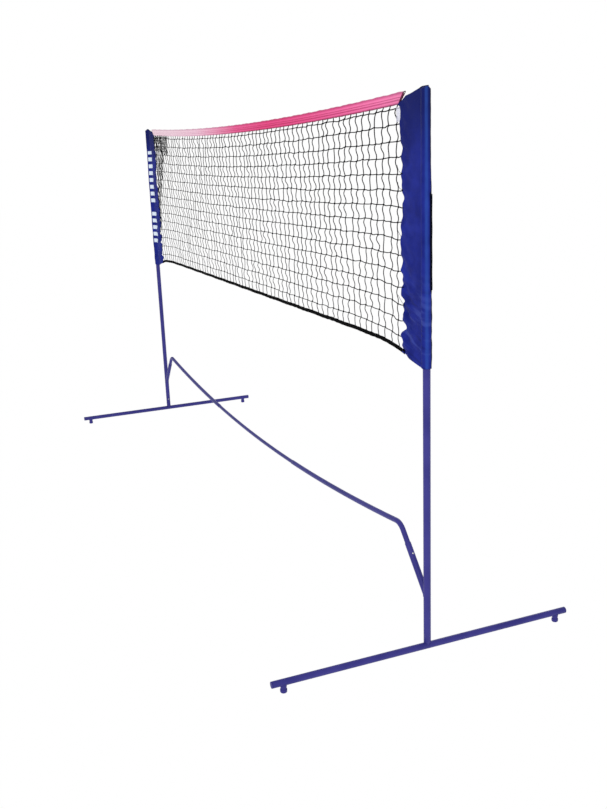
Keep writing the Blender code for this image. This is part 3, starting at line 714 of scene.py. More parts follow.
def turned_mesh(name, profile, seat, axis, sides, reshape=None):
    """A turned solid: rings of (radius, height) about a line through the seat, from the pole at the
    bottom, up the outside, to the pole at the top. A profile that never reaches radius 0 is a ring."""
    profile = np.asarray(profile, float)
    axis = unit(np.asarray(axis, float))
    normal = unit(np.cross(axis, (1.0, 0.0, 0.0) if abs(axis[0]) < 0.9 else (0.0, 1.0, 0.0)))
    other = np.cross(axis, normal)
    angle = full_turn(sides)[:, None]
    spoke = np.cos(angle) * normal + np.sin(angle) * other
    points = np.asarray(seat) + profile[:, 1, None, None] * axis + profile[:, 0, None, None] * spoke
    if reshape is not None:
        points = reshape(points)
    is_ring = profile[0, 0] > 0
    return weld(grid_mesh(name, points, (is_ring, True)), 38.0)


def arc(radius_at, height_at, radius, start, stop, count):
    """Points of a turned profile along an arc about (radius_at, height_at), angles in degrees."""
    angle = np.radians(np.linspace(start, stop, count))
    return list(zip(radius_at + radius * np.cos(angle), height_at + radius * np.sin(angle)))


def drilled(mesh, holes):
    """Cut round holes through a tube's wall: each has a start on the axis, a direction and a radius."""
    piece = bpy.data.objects.new(mesh.name, mesh)
    bpy.context.scene.collection.objects.link(piece)
    bits = []
    for start, direction, radius in holes:
        profile = [(0, 0), (radius, 0), (radius, 0.02), (0, 0.02)]
        bit = bpy.data.objects.new("bit", turned_mesh("bit", profile, start, direction, 32))
        bpy.context.scene.collection.objects.link(bit)
        cut = piece.modifiers.new("hole", "BOOLEAN")
        cut.operation = "DIFFERENCE"
        cut.solver = "EXACT"
        cut.object = bit
        bits.append(bit)
    bpy.context.view_layer.update()
    evaluated = piece.evaluated_get(bpy.context.evaluated_depsgraph_get())
    made = bpy.data.meshes.new_from_object(evaluated)
    name = mesh.name
    for obj in (*bits, piece):
        bpy.data.objects.remove(obj, do_unlink=True)
    mesh.name = name + "_undrilled"
    made.name = name
    made.set_sharp_from_angle(angle=math.radians(45))
    return made


# Stand


def stations(low, high, holes=()):
    """Places along a tube: evenly spread, with one more close to each side of every hole."""
    count = max(2, int(round((high - low) / STATION_SPACING)) + 1)
    spread = np.linspace(low, high, count)[1:-1]
    clear = [z for z in spread if all(abs(z - hole) > HOLE_MARGIN * 1.2 for hole in holes)]
    beside = [hole + offset for hole in holes for offset in (-HOLE_MARGIN, HOLE_MARGIN)]
    return np.array(sorted([low, high, *clear, *beside]))


def add_tube(mesh, node, holes=()):
    """A painted tube of the stand, drilled where it has holes."""
    add_piece(drilled(mesh, holes) if holes else mesh, INDIGO, "stand", [node])


def make_posts(label, side):
    """Two tubes, one above the other, with holes for the snap buttons and the rivet."""
    x = side * POST_X
    buttons = [((x, 0, z), (-side, 0, 0), BUTTON_HOLE_RADIUS) for z in (BASE_BUTTON_Z, MID_BUTTON_Z)]
    rivet = [((x, 0, RIVET_Z), (0, 1, 0), 0.0022)]
    upper_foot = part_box(f"upper_post_{label}")[0].z
    spans = {
        "lower_post": (POST_FOOT, POST_SPLIT, buttons),
        "upper_post": (upper_foot, POST_TOP - CAP_THICKNESS, rivet),
    }
    for name, (low, high, holes) in spans.items():
        heights = stations(low, high, [start[2] for start, _, _ in holes])
        mesh = tube_mesh(f"{name}_tube_{label}", points_of(x, 0.0, heights), POST_RADIUS)
        add_tube(mesh, f"{name}_{label}", holes)


def make_foot_bar(label, side):
    path = points_of(side * POST_X, stations(-BAR_REACH, BAR_REACH), BAR_AXIS_Z)
    mesh = tube_mesh(f"foot_bar_tube_{label}", path, BAR_RADIUS, across=(0, 0, 1))
    add_tube(mesh, f"foot_bar_{label}")


def brace_point(side, reach):
    """A point on the stub's axis, at a distance from the post's axis."""
    inwards = POST_X - reach * math.cos(BRACE_ANGLE)
    return np.array([side * inwards, 0.0, BRACE_FOOT_Z + reach * math.sin(BRACE_ANGLE)])


def brace_outward(side):
    """Unit normal of the stub in its own plane, up and away from the net."""
    return np.array([side * math.sin(BRACE_ANGLE), 0.0, math.cos(BRACE_ANGLE)])


def brace_spokes(side, angle):
    """Unit vectors round the stub: cos a outward + sin a Y."""
    return np.cos(angle)[:, None] * brace_outward(side) + np.sin(angle)[:, None] * [0, 1, 0]


def brace_button_hole(side):
    return (brace_point(side, BRACE_BUTTON_REACH), brace_outward(side), BUTTON_HOLE_RADIUS)


def post_contact(side, angle, radius):
    """Where a line of the stub's skin, at an angle round it, meets the post: on the line
    foot + s along + radius (cos a outward + sin a Y), s puts the point POST_RADIUS from the axis."""
    along = unit(brace_point(side, 1.0) - brace_point(side, 0.0))
    offset = radius * brace_spokes(side, angle)
    depth = np.sqrt(POST_RADIUS**2 - np.clip(offset[:, 1], -POST_RADIUS, POST_RADIUS) ** 2)
    inward = -side * offset[:, 0]
    reach = (depth - inward) / math.cos(BRACE_ANGLE)
    return brace_point(side, 0.0) + offset + reach[:, None] * along


def make_stub(label, side):
    """A tube whose foot follows the post's skin, drilled for its button."""
    angle = full_turn(48)
    top = brace_point(side, STUB_LENGTH)
    spokes = brace_spokes(side, angle)
    skins = []
    for radius, edge in ((STUB_RADIUS, TUBE_EDGE), (STUB_RADIUS - STUB_WALL, -TUBE_EDGE)):
        foot = post_contact(side, angle, radius)
        rise = top + radius * spokes - foot
        rings = [foot + share * rise for share in (0.0, 0.25, 0.5, 0.68, 0.76, 0.8, 0.9, 0.998)]
        skins.append([*rings, top + (radius - edge) * spokes])
    points = np.array(skins[0] + skins[1][::-1])
    if side > 0:
        points = points[:, ::-1]
    mesh = grid_mesh(f"brace_stub_tube_{label}", points, (True, True), crease=60.0)
    add_tube(mesh, f"brace_stub_{label}", [brace_button_hole(side)])


def elbow_corner_x():
    """Where the stub's line meets the crossbar's parabola: the smaller root of the quadratic."""
    curve = CROSSBAR_RISE / CROSSBAR_HALF_SPAN**2
    slope = math.tan(BRACE_ANGLE)
    level = CROSSBAR_MID_Z - BRACE_FOOT_Z - POST_X * slope
    return (-slope + math.sqrt(slope**2 - 4 * curve * level)) / (2 * curve)


def elbow_path(side):
    """Up the stub's line, round an arc that touches it and the parabola, then along the parabola."""
    corner_x = elbow_corner_x()
    corner = np.array([side * corner_x, 0.0, crossbar_height(corner_x)])
    beyond = np.array([side * (corner_x - 0.05), 0.0, crossbar_height(corner_x - 0.05)])
    start = brace_point(side, ELBOW_START)
    back, forth = unit(start - corner), unit(beyond - corner)
    half = math.acos(float(back @ forth)) / 2
    centre = corner + unit(back + forth) * BEND_RADIUS / math.sin(half)
    setback = BEND_RADIUS / math.tan(half)
    first, last = corner + back * setback - centre, corner + forth * setback - centre
    turned = math.acos(float(unit(first) @ unit(last)))
    t = np.linspace(0, 1, 22)[:, None]
    blend = first * np.sin(turned * (1 - t)) + last * np.sin(turned * t)
    bend = centre + blend / math.sin(turned)
    x = np.linspace(abs(bend[-1, 0]) - 0.03, SECTION_JOINT_X, 34)
    run = points_of(side * x, 0.0, crossbar_height(x))
    leg = np.array([start + share * (bend[0] - start) for share in (0.0, 0.2, 0.34, 0.42, 0.46, 0.6, 0.8)])
    return np.concatenate([leg, bend, run])


def make_crossbar():
    for label, side in SIDES.items():
        mesh = tube_mesh(f"crossbar_elbow_{label}", elbow_path(side), ELBOW_RADIUS, CROSSBAR_WALL, 32)
        add_tube(mesh, f"elbow_tube_{label}", [brace_button_hole(side)])
    x = np.linspace(-CENTRE_REACH, CENTRE_REACH, 50)
    path = points_of(x, 0.0, crossbar_height(x))
    mesh = tube_mesh("crossbar_centre_section", path, CENTRE_RADIUS, CROSSBAR_WALL, 32)
    add_tube(mesh, "crossbar_centre_tube")


def bead(name, loop, radius, rng):
    """A closed weld bead: a string round a loop whose radius ripples along it like stacked coins."""
    count = len(loop)
    phase = full_turn(count)
    ripple = 0.10 * np.sin(phase * (count // 4)) + 0.06 * np.sin(3 * phase + rng.uniform(0, TURN))
    tangent = unit(np.roll(loop, -1, 0) - np.roll(loop, 1, 0))
    outward = unit(loop - loop.mean(0))
    normal = unit(outward - (outward * tangent).sum(-1, keepdims=True) * tangent)
    other = np.cross(tangent, normal)
    angle = full_turn(10)[None, :, None]
    ring = np.cos(angle) * normal[:, None] + np.sin(angle) * other[:, None]
    points = loop[:, None] + (radius * (1 + ripple))[:, None, None] * ring
    return grid_mesh(name, points, (True, True), crease=80.0)


def make_welds(label, side, rng):
    """Beads where the stub meets the post and where the spigot stands on the foot bar."""
    angle = full_turn(88)
    brace_loop = post_contact(side, angle, STUB_RADIUS + WELD_RADIUS * 0.2)
    ring = SPIGOT_RADIUS + 0.0002
    x = ring * np.cos(angle)
    saddle = BAR_AXIS_Z + np.sqrt(BAR_RADIUS**2 - x**2)
    base_loop = points_of(side * POST_X + x, ring * np.sin(angle), saddle)
    for name, loop, share in (("brace_weld", brace_loop, 1.0), ("base_weld", base_loop, 0.75)):
        mesh = bead(f"{name}_{label}", loop, WELD_RADIUS * share, rng)
        add_piece(mesh, WELD, "stand")


def cap_mesh(name, seat, axis, radius):
    """A plug cap: a ribbed plug in the bore, a flat flange on the tube's end and a low domed face."""
    bore = radius - TUBE_WALL - 0.0004
    height = CAP_THICKNESS - 0.0003
    plug = [(0, -0.0140), (bore - 0.0010, -0.0140), (bore - 0.0004, -0.0132)]
    for rib in (-0.0115, -0.0085, -0.0055):
        plug += [(bore - 0.0004, rib - 0.0008), (bore, rib), (bore - 0.0004, rib + 0.0008)]
    flange = [(bore - 0.0004, 0.0), (radius - 0.0002, 0.0), (radius, 0.0003)]
    rim = arc(radius - 0.0010, height - 0.0012, 0.0010, 0, 80, 6)
    face = [(radius * 0.72, height - 0.00012), (radius * 0.4, height - 0.00003), (0, height)]
    return turned_mesh(name, plug + flange + rim + face, seat, axis, 40)


def make_caps(label, side):
    x = side * POST_X
    for end, sign in ENDS.items():
        node = f"bar_end_cap_{label}_{end}"
        seat = (x, sign * (BAR_REACH + 0.0003), BAR_AXIS_Z)
        mesh = cap_mesh(f"bar_plug_{label}_{end}", seat, (0, sign, 0), BAR_RADIUS)
        add_piece(mesh, PLASTIC, "stand", [node])
    seat = (x, 0, POST_TOP - CAP_THICKNESS + 0.0003)
    mesh = cap_mesh(f"post_plug_{label}", seat, (0, 0, 1), POST_RADIUS)
    add_piece(mesh, PLASTIC, "stand", [f"post_cap_{label}"])


def make_foot(label, side, end, sign):
    """A moulded peg with a raised collar, a rounded sole and a screw recess. Its top is lowered to
    the bar's underside: no point is higher than the axis less sqrt(r^2 - x^2)."""
    x = side * POST_X
    y = sign * (BAR_REACH + CAP_THICKNESS - FOOT_INSET)
    top = BAR_AXIS_Z - 0.0035
    saddle = BAR_RADIUS + 0.0003

    def seat_on_bar(points):
        across = np.clip(np.abs(points[..., 0] - x), 0, saddle)
        roof = BAR_AXIS_Z - np.sqrt(saddle**2 - across**2)
        points[..., 2] = np.where(points[..., 2] > 0.012, np.minimum(points[..., 2], roof), points[..., 2])
        return points

    sole = arc(FOOT_RADIUS - 0.0042, 0.0042, 0.0042, -90, 0, 10)
    side_wall = [(FOOT_RADIUS, 0.0090), *arc(FOOT_RADIUS - 0.0012, 0.0100, 0.0012, 0, 90, 5)]
    neck = [(FOOT_RADIUS - 0.0014, 0.0116), (FOOT_RADIUS - 0.0014, 0.0160), (FOOT_RADIUS - 0.0008, 0.0190)]
    crown = [(r, top) for r in np.linspace(FOOT_RADIUS - 0.0003, 0.0026, 9)]
    bore = [(0.0026, 0.0044), (0.0044, 0.0044), (0.0044, 0.0003), (0.0047, 0.0)]
    profile = sole + side_wall + neck + crown + bore
    mesh = turned_mesh(f"foot_peg_{label}_{end}", profile, (x, y, 0), (0, 0, 1), 48, reshape=seat_on_bar)
    add_piece(mesh, PLASTIC, "stand", [f"foot_{label}_{end}"])


def button_mesh(name, centre, outward, outer_radius, bore_radius):
    """A snap button: a pin with a quarter ellipse for its dome, on a thin flange inside the bore."""
    tip = outer_radius + BUTTON_PROUD
    seat = bore_radius - FLANGE_DEPTH
    base = seat - FLANGE_THICKNESS
    angle = np.linspace(0, math.pi / 2, 9)[:-1]
    dome = zip(BUTTON_RADIUS * np.cos(angle), tip - DOME_HEIGHT * (1 - np.sin(angle)))
    flange = [(0, base), (FLANGE_RADIUS, base), (FLANGE_RADIUS, seat), (BUTTON_RADIUS, seat)]
    return turned_mesh(name, [*flange, *dome, (0, tip)], centre, outward, 32)


def make_buttons(label, side):
    """Each button's place, the way it faces, and the skin and the bore of the tubes that it locks."""
    x, inward = side * POST_X, (-side, 0, 0)
    post = (POST_RADIUS, SPIGOT_RADIUS - SPIGOT_WALL)
    stub = (STUB_RADIUS, ELBOW_RADIUS - CROSSBAR_WALL)
    buttons = {
        "base_button": ((x, 0, BASE_BUTTON_Z), inward, *post),
        "mid_button": ((x, 0, MID_BUTTON_Z), inward, *post),
        "brace_button": (brace_point(side, BRACE_BUTTON_REACH), brace_outward(side), *stub),
    }
    for name, seat in buttons.items():
        node = f"{name}_{label}"
        mesh = button_mesh(f"{name}_pin_{label}", *seat)
        add_piece(mesh, BRIGHT_STEEL, node, [node])


def make_rivet(label, side):
    """A dome-headed rivet through the upper post and its inner tube."""
    foot = POST_RADIUS + 0.0003
    head = [(0.0030 * math.cos(a), foot + 0.0010 * math.sin(a)) for a in np.linspace(0.1, 1.45, 8)]
    profile = [(0, 0.0068), (0.0018, 0.0068), (0.0018, foot), (0.0030, foot), *head, (0, foot + 0.0010)]
    mesh = turned_mesh(f"post_rivet_{label}", profile, (side * POST_X, 0, RIVET_Z), (0, 1, 0), 28)
    add_piece(mesh, BRIGHT_STEEL, "stand", [f"ferrule_rivet_{label}"])


def dress_inner_parts():
    """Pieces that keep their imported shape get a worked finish."""
    finishes = {
        "post_spigot": INDIGO,
        "post_ferrule": ZINC,
        "foot_screw": BRIGHT_STEEL,
        "button_spring": SPRING_STEEL,
    }
    for name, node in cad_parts.items():
        for key, material in finishes.items():
            if key in name:
                node.data.materials.clear()
                node.data.materials.append(material)


# Net


def knot_grid(rng):
    """[row, column] places of the knots. A row falls from just under the tape to just above the band
    by 0.964 t + 0.036 t^2 of the way, and every knot sits a little off its place."""
    x = np.linspace(-KNOT_END_X, KNOT_END_X, KNOT_COLUMNS)
    t = np.arange(KNOT_ROWS)[:, None] / (KNOT_ROWS - 1)
    top = tape_top(x) - TAPE_HEIGHT - FIRST_ROW_DROP + 0.0028 * x / KNOT_END_X
    bottom = band_middle(x) + LAST_ROW_RISE
    z = top + (bottom - top) * (0.964 * t + 0.036 * t * t)
    shape = z.shape
    calm = np.array([0.5] + [1.0] * (KNOT_ROWS - 1))[:, None]
    wander = np.cumsum(rng.normal(0, KNOT_WANDER, shape), axis=0)
    x = x + (wander - wander.mean(0)) * calm + rng.normal(0, KNOT_JITTER, shape)
    z = z + rng.normal(0, KNOT_WANDER, shape) * calm
    billow = 0.0035 * np.sin(2.3 * x + 0.7) * np.sin(math.pi * t) + 0.0020 * np.sin(9.1 * x + 5.0 * t)
    return points_of(x, billow * calm + rng.normal(0, KNOT_JITTER, shape), z)


def through(knots, bow, curl, steps):
    """Paths along the next-to-last axis of knots: between two knots, the straight line plus
    bow sin(pi t) + curl sin(2 pi t), each a vector for every gap."""
    t = (np.arange(steps) / steps)[:, None]
    first, last = knots[:, :-1, None], knots[:, 1:, None]
    line = first + (last - first) * t + bow[:, :, None] * np.sin(math.pi * t)
    line = line + curl[:, :, None] * np.sin(TURN * t)
    return np.concatenate([line.reshape(len(knots), -1, 3), knots[:, -1:]], axis=1)


def twine_radius(down, x):
    """The twine is a little slimmer towards the net's foot, where down is 1, and its left end."""
    radius = TWINE_TOP_RADIUS + (TWINE_BOTTOM_RADIUS - TWINE_TOP_RADIUS) * np.clip(down, 0, 1)
    return radius * (1 + 0.13 * x / KNOT_END_X)


def add_twine(name, paths, radius):
    mesh = string_mesh(name, paths, radius, 6)
    add_piece(mesh, TWINE, "net", ["net_mesh"])


def make_netting(rng):
    """Square mesh netting: straight rows and slack columns of twine, with a knot at each crossing."""
    knots = knot_grid(rng)
    rows, columns = knots.shape[:2]
    ends = []
    for index, side in ((0, -1), (-1, 1)):
        anchor = knots[:, index].copy()
        anchor[:, 0] = side * (SLEEVE_INNER_X + 0.006)
        anchor[:, 1] = 0.0
        anchor[:, 2] += rng.uniform(-0.001, 0.009, rows) * np.linspace(1, 0.2, rows)
        ends.append(anchor[:, None])
    row_knots = np.concatenate([ends[0], knots, ends[1]], axis=1)
    bow = rng.normal(0, 1, (rows, columns + 1, 3)) * [0, 0.0010, 0.0007] + [0, 0, -0.0007]
    curl = rng.normal(0, 1, (rows, columns + 1, 3)) * [0, 0.0006, 0.0005]
    paths = through(row_knots, bow, curl, 5)
    radius = twine_radius(np.linspace(0, 1, rows)[:, None], paths[..., 0])
    add_twine("net_row_twine", paths, radius)

    down = knots.transpose(1, 0, 2)
    top, bottom = down[:, :1].copy(), down[:, -1:].copy()
    top[:, 0, 0] += rng.uniform(0.002, 0.014, columns)
    top[:, 0, 1] = 0.0
    top[:, 0, 2] = tape_top(top[:, 0, 0]) - TAPE_HEIGHT + 0.0035
    bottom[:, 0, 0] += rng.normal(0, 0.003, columns)
    bottom[:, 0, 1] = 0.0
    bottom[:, 0, 2] = band_middle(bottom[:, 0, 0])
    column_knots = np.concatenate([top, down, bottom], axis=1)
    gaps = column_knots.shape[1] - 1
    slack = np.ones((1, gaps, 1))
    slack[:, 0] = 0.15
    slack[:, -1] = 0.6
    bow = (rng.normal(0, 1, (columns, gaps, 3)) * [0.0010, 0.0013, 0] + [-0.0004, -0.0010, 0]) * slack
    curl = (rng.normal(0, 1, (columns, gaps, 3)) * [0.0008, 0.0010, 0] + [-0.0010, -0.0017, 0]) * slack
    paths = through(column_knots, bow, curl, 7)
    radius = twine_radius(np.linspace(-0.05, 1.05, paths.shape[1]), paths[..., 0])
    add_twine("net_column_twine", paths, radius)
    make_knots(knots, rng)
    make_tie_threads(column_knots, ends, rng)
    make_gathers(knots, rng)


def make_gathers(knots, rng):
    """Surplus netting gathered beside the left sleeve. Two more columns hang in each gap, down to a
    row that is higher the farther they are from the sleeve, and close cross strands tie their tops."""
    strands = []
    for index, last_row in enumerate((11, 10, 8, 7, 6, 5, 4, 3, 2, 2, 2, 2)):
        gap, place = divmod(index, 2)
        share = (place + 1) / 3
        line = knots[: last_row + 1, gap] * (1 - share) + knots[: last_row + 1, gap + 1] * share
        head = line[:1] + [0.004, 0, 0.0145]
        line = np.concatenate([head, line]) + rng.normal(0, 0.0008, (len(line) + 1, 3))
        even = np.linspace(0, 1, GATHER_STEPS) * (len(line) - 1)
        smooth = np.stack([np.interp(even, np.arange(len(line)), line[:, k]) for k in range(3)], -1)
        swing = TURN * even + rng.normal(0, 0.4)
        smooth[:, 0] -= 0.0014 * np.sin(swing)
        smooth[:, 1] -= 0.0020 + 0.0016 * np.sin(swing + 0.6)
        strands.append(smooth)
    share = np.linspace(-0.02, 1, GATHER_STEPS)
    span = 6 * (knots[0, 1, 0] - knots[0, 0, 0]) + SLEEVE_INNER_X - KNOT_END_X
    x = -SLEEVE_INNER_X + span * share
    for depth in (0.007, 0.0145, 0.0225, 0.030, 0.0375, 0.052, 0.0595, 0.067, 0.075):
        z = tape_top(x) - TAPE_HEIGHT - depth + 0.0009 * np.sin(share * TURN * 9 + rng.uniform(0, TURN))
        strands.append(points_of(x, -0.0022 + 0.0010 * np.sin(share * TURN * 7), z))
    add_twine("net_gathered_twine", np.array(strands), GATHER_RADIUS)


def make_knots(knots, rng):
    """Each knot is a lump of 8 x 4 faces: radius (1 + 0.2 cos(2a + turn)) over rings of latitude."""
    count = knots.shape[0] * knots.shape[1]
    centres = knots.reshape(-1, 1, 1, 3)
    latitude = np.radians([-66, -33, 0, 33, 66])[None, :, None]
    angle = full_turn(8)
    turn = rng.uniform(0, TURN, (count, 1, 1))
    size = rng.uniform(0.0022, 0.0027, (count, 1, 1))
    lump = size * (1 + 0.2 * np.cos(2 * angle + turn))
    x = lump * np.cos(latitude) * np.cos(angle)
    y = lump * np.cos(latitude) * np.sin(angle)
    points = centres + points_of(x, y, 1.15 * size * np.sin(latitude))
    uv = points_of(np.arange(9) / 8, np.linspace(0, 0.004, 5)[:, None])
    mesh = grid_mesh("net_knots", points, (False, True), capped=True, uv=uv, crease=80.0)
    add_piece(mesh, TWINE, "net", ["net_mesh"])


def make_tie_threads(column_knots, ends, rng):
    """Thin tie threads from the outermost columns to the sleeves' edges, on some rows."""
    paths = []
    for column, anchors in zip((0, -1), ends):
        for row in (1, 4, 5, 8, 12):
            start = column_knots[column, row] * 0.55 + column_knots[column, row + 1] * 0.45
            end = anchors[row, 0] + [0, 0, 0.001]
            t = np.linspace(0, 1, 9)[:, None]
            droop = np.array([0, rng.uniform(-0.004, 0.004), -0.006]) * np.sin(math.pi * t)
            paths.append(start + (end - start) * t + droop)
    add_twine("net_tie_threads", np.array(paths), TIE_THREAD_RADIUS)


def make_tape():
    """The folded top tape. Up one face, over a round fold and down the other: at height share h its
    half thickness swells round the cord near the top and dips at each stitched channel. Its length
    grows with height, so both ends slant, and its upper edge puckers gently."""
    fold_start, face_rows = 0.9, 26
    fold = fold_start + (1 - fold_start) * np.sin(np.linspace(0.15, math.pi / 2, 7))
    height = np.concatenate([np.linspace(0.0, fold_start, face_rows), fold])
    swell = 0.0021 + 0.0011 * np.sin(np.clip(height * 1.05, 0, 1) * math.pi * 0.62)
    depth = (1 - height) * TAPE_HEIGHT
    for place in TAPE_CHANNELS:
        swell = swell - 0.0010 * np.exp(-(((depth - place) / 0.0012) ** 2))
    over = (fold - fold_start) / (1 - fold_start)
    swell[face_rows:] = swell[face_rows - 1] * np.sqrt(np.clip(1 - over**2, 0, 1))
    y = np.concatenate([-swell, swell[-2::-1]])
    share = np.concatenate([height, height[-2::-1]])
    t = np.linspace(-1, 1, 421)[:, None]
    x = t * (TAPE_BOTTOM_END_X + share * (TAPE_TOP_END_X - TAPE_BOTTOM_END_X))
    pucker = 0.0005 * np.sin(x * 61 + 1.0) + 0.0004 * np.sin(x * 143 + 2.0 * share)
    scallop = 0.0009 * np.abs(np.sin(x * math.pi / TIE_PITCH)) * (1 - share) ** 3
    z = tape_top(x) - (1 - share) * TAPE_HEIGHT + pucker * (0.4 + 0.6 * share) + scallop
    lean = 0.0016 * np.sin(2.3 * x + 0.7) * np.sin(math.pi * share) + 0.0005 * np.sin(x * 97)
    points = points_of(x, y + lean, z).transpose(1, 0, 2)
    uv = points_of(travelled(y, share * TAPE_HEIGHT)[:, None], x.T)
    piece = add_cloth("top_tape_cloth", points, uv, PINK, "tape_fabric", "top_tape", 0.0007)


def make_headline():
    x = np.linspace(-NET_END_X - HEADLINE_TUCK, NET_END_X + HEADLINE_TUCK, 160)
    path = points_of(x, 0.0, tape_top(x) - HEADLINE_DROP)
    mesh = string_mesh("headline_braid", path, HEADLINE_RADIUS, 12)
    add_piece(mesh, WHITE_BRAID, "net", ["headline_cord"])


def make_band():
    """Webbing with a rounded-box section, a shallow scallop between the net's ties, and thin ends."""
    x = np.linspace(-NET_END_X - 0.009, NET_END_X + 0.009, 560)[:, None]
    angle = full_turn(16)
    corner = 4.0
    cos, sin = np.cos(angle), np.sin(angle)
    box = (np.abs(cos) ** corner + np.abs(sin) ** corner) ** (-1 / corner)
    thin = 1 - 0.5 * smoothstep(np.abs(x), NET_END_X - 0.012, NET_END_X + 0.004)
    ripple = 1 + 0.05 * np.sin(x * TURN / TIE_PITCH) + 0.04 * np.sin(x * 173)
    z = band_middle(x) + 0.0006 * np.sin(x * 37) + BAND_HEIGHT / 2 * box * sin * ripple
    y = -BAND_THICKNESS / 2 * box * cos * thin
    points = points_of(x, y, z)[:, ::-1]
    uv = points_of(np.arange(17) / 16 * 0.025, x)
    mesh = grid_mesh("bottom_band_webbing", points, (False, True), capped=True, uv=uv, crease=60.0)
    piece = add_piece(mesh, WEBBING, "net", ["bottom_band"])


def sleeve_section():
    """Outline across a sleeve, from its front inner edge round the post to its rear inner edge.
    Columns: share of the web from the seam to the inner edge, distance from the post's axis towards
    the net (0 on the web), and Y. The pocket is a teardrop: tangents from the seam to a circle."""
    lean = math.acos(POCKET_RADIUS / POCKET_SEAM)
    web = points_of(np.linspace(1, 0, WEB_COLUMNS + 1)[:-1], 0.0, -WEB_GAP)
    angle = np.linspace(-lean, lean - TURN, 49)
    circle = points_of(0.0, POCKET_RADIUS * np.cos(angle), POCKET_RADIUS * np.sin(angle))
    seam = np.array([0.0, POCKET_SEAM, -WEB_GAP])
    flank = seam + (circle[0] - seam) * np.linspace(0, 1, 8)[:-1, None]
    front = np.concatenate([web, flank])
    return np.concatenate([front, circle, front[::-1] * [1, 1, -1]])


def sleeve_edge(side, rng):
    """Height and X of the sleeve's inner edge. It is held out where a row of the net is tied, and
    falls back between the ties by sin^2, more in a few places. Its top runs out to a point."""
    height = np.linspace(SLEEVE_INNER_BOTTOM, SLEEVE_TIP_Z, 240)
    ties = np.linspace(FIRST_TIE_Z, LAST_TIE_Z, KNOT_ROWS + 1)
    depth = rng.uniform(0.002, 0.006, KNOT_ROWS + 1)
    depth[[1, 9, 12]] = (0.013, 0.014, 0.009) if side > 0 else (0.008, 0.010, 0.008)
    gap = np.clip(np.searchsorted(ties, height) - 1, 0, KNOT_ROWS - 1)
    share = (height - ties[gap]) / (ties[1] - ties[0])
    x = SLEEVE_INNER_X - 0.0015 + depth[gap] * np.sin(math.pi * np.clip(share, 0, 1)) ** 2
    x = x + (SLEEVE_TIP_X - x) * smoothstep(height, SLEEVE_TIP_Z - 0.012, SLEEVE_TIP_Z)
    return height, x


def make_sleeve(label, side, rng):
    """Double cloth, sewn down beside a pocket that slips over the post. Rows rise from a hem that
    slopes down to the seam and a little up again on the pocket; the top slopes up to a flat peak
    over the post, where the pocket is sewn shut. The web ripples by a few sine waves that run
    parallel to the hem and fade upwards."""
    section = sleeve_section()
    web_share, reach, across = section.T
    edge_height, edge_x = sleeve_edge(side, rng)
    v = np.concatenate([np.linspace(0, 0.975, 205), np.linspace(0.975, 1, 14)[1:]])[:, None]
    inner_z = SLEEVE_INNER_BOTTOM + v * (SLEEVE_TIP_Z - SLEEVE_INNER_BOTTOM)
    inner_x = np.interp(inner_z, edge_height, edge_x)
    column = np.arange(len(section))
    is_web = (column < WEB_COLUMNS) | (column >= len(section) - WEB_COLUMNS)
    seam_x = POST_X - POCKET_SEAM
    x = np.where(is_web, seam_x + web_share * (inner_x - seam_x), POST_X - reach)
    hem_x = [SLEEVE_INNER_X, seam_x, POST_X - POCKET_RADIUS]
    hem = np.interp(x, hem_x, [SLEEVE_INNER_BOTTOM, SLEEVE_BOTTOM, SLEEVE_BOTTOM + POCKET_HEM_RISE])
    top = np.interp(x, *np.transpose(TOP_OUTLINE))
    z = hem + v * (top - hem)
    height_share = (z - SLEEVE_BOTTOM) / (SLEEVE_TOP - SLEEVE_BOTTOM)

    drop = z + 0.22 * (x - SLEEVE_INNER_X)
    low = 1 - smoothstep(height_share, 0.22, 0.5)
    waves = 0
    for pitch, size in ((0.061, 0.0020), (0.036, 0.0012), (0.023, 0.0007)):
        phase = rng.uniform(0, TURN) + 3.0 * np.sin(x * 31 + rng.uniform(0, TURN))
        waves = waves + size * np.sin(drop * TURN / pitch + phase)
    broad = 0.0024 * np.sin(z * 19 + 1.3 * side) + 0.0012 * np.sin(z * 43 + x * 30)
    sway = (waves * (0.5 + 1.6 * low) + broad) * np.sqrt(web_share) * (0.4 + 0.6 * web_share)
    belly = 0.0016 * np.sin(math.pi * web_share) + 0.0004 * (web_share > 0.93)
    face = np.where(column < len(section) / 2, -1.0, 1.0)
    y = across + np.where(is_web, sway + face * belly, 0)

    turn = np.arctan2(across, reach + 1e-9)
    crumple = 0.0005 * (1 + np.sin(z * 61 + 4 * turn + side))
    crumple = crumple + 0.0004 * (1 + np.sin(z * 167 + 2 * turn))
    snug = 0.0016 * smoothstep(z, STRIP_TOP + 0.01, STRIP_TOP + 0.09)
    loose = (0.3 + 0.7 * low) * smoothstep(z, SLEEVE_BOTTOM, SLEEVE_BOTTOM + 0.05)
    swell = np.where(is_web, 0, crumple * loose - snug)
    size = np.maximum(np.hypot(reach, across), 1e-6)
    round_post = np.clip(1 - np.maximum(reach, 0) / POCKET_SEAM, 0, 1)
    x = x - swell * round_post * reach / size
    y = y + swell * round_post * across / size

    shut = smoothstep(z, 1.5730, SLEEVE_TOP)
    y = y * (1 - 0.93 * shut)
    x = np.where(is_web, x, POST_X - (POST_X - x) * (1 + 0.10 * shut * (reach < 0)))
    points = points_of(side * x, y, z)
    girth = travelled(x[100], across)
    uv = points_of(girth, z)
    if side < 0:
        points, uv = points[:, ::-1], uv[:, ::-1]
    look = (SLEEVE_PRINTED if side < 0 else SLEEVE_PLAIN, "sleeve_fabric")
    piece = add_cloth(f"sleeve_cloth_{label}", points, uv, *look, f"sleeve_{label}", 0.0006)
    trim = [make_closure(label, side), make_binding(label, side)]


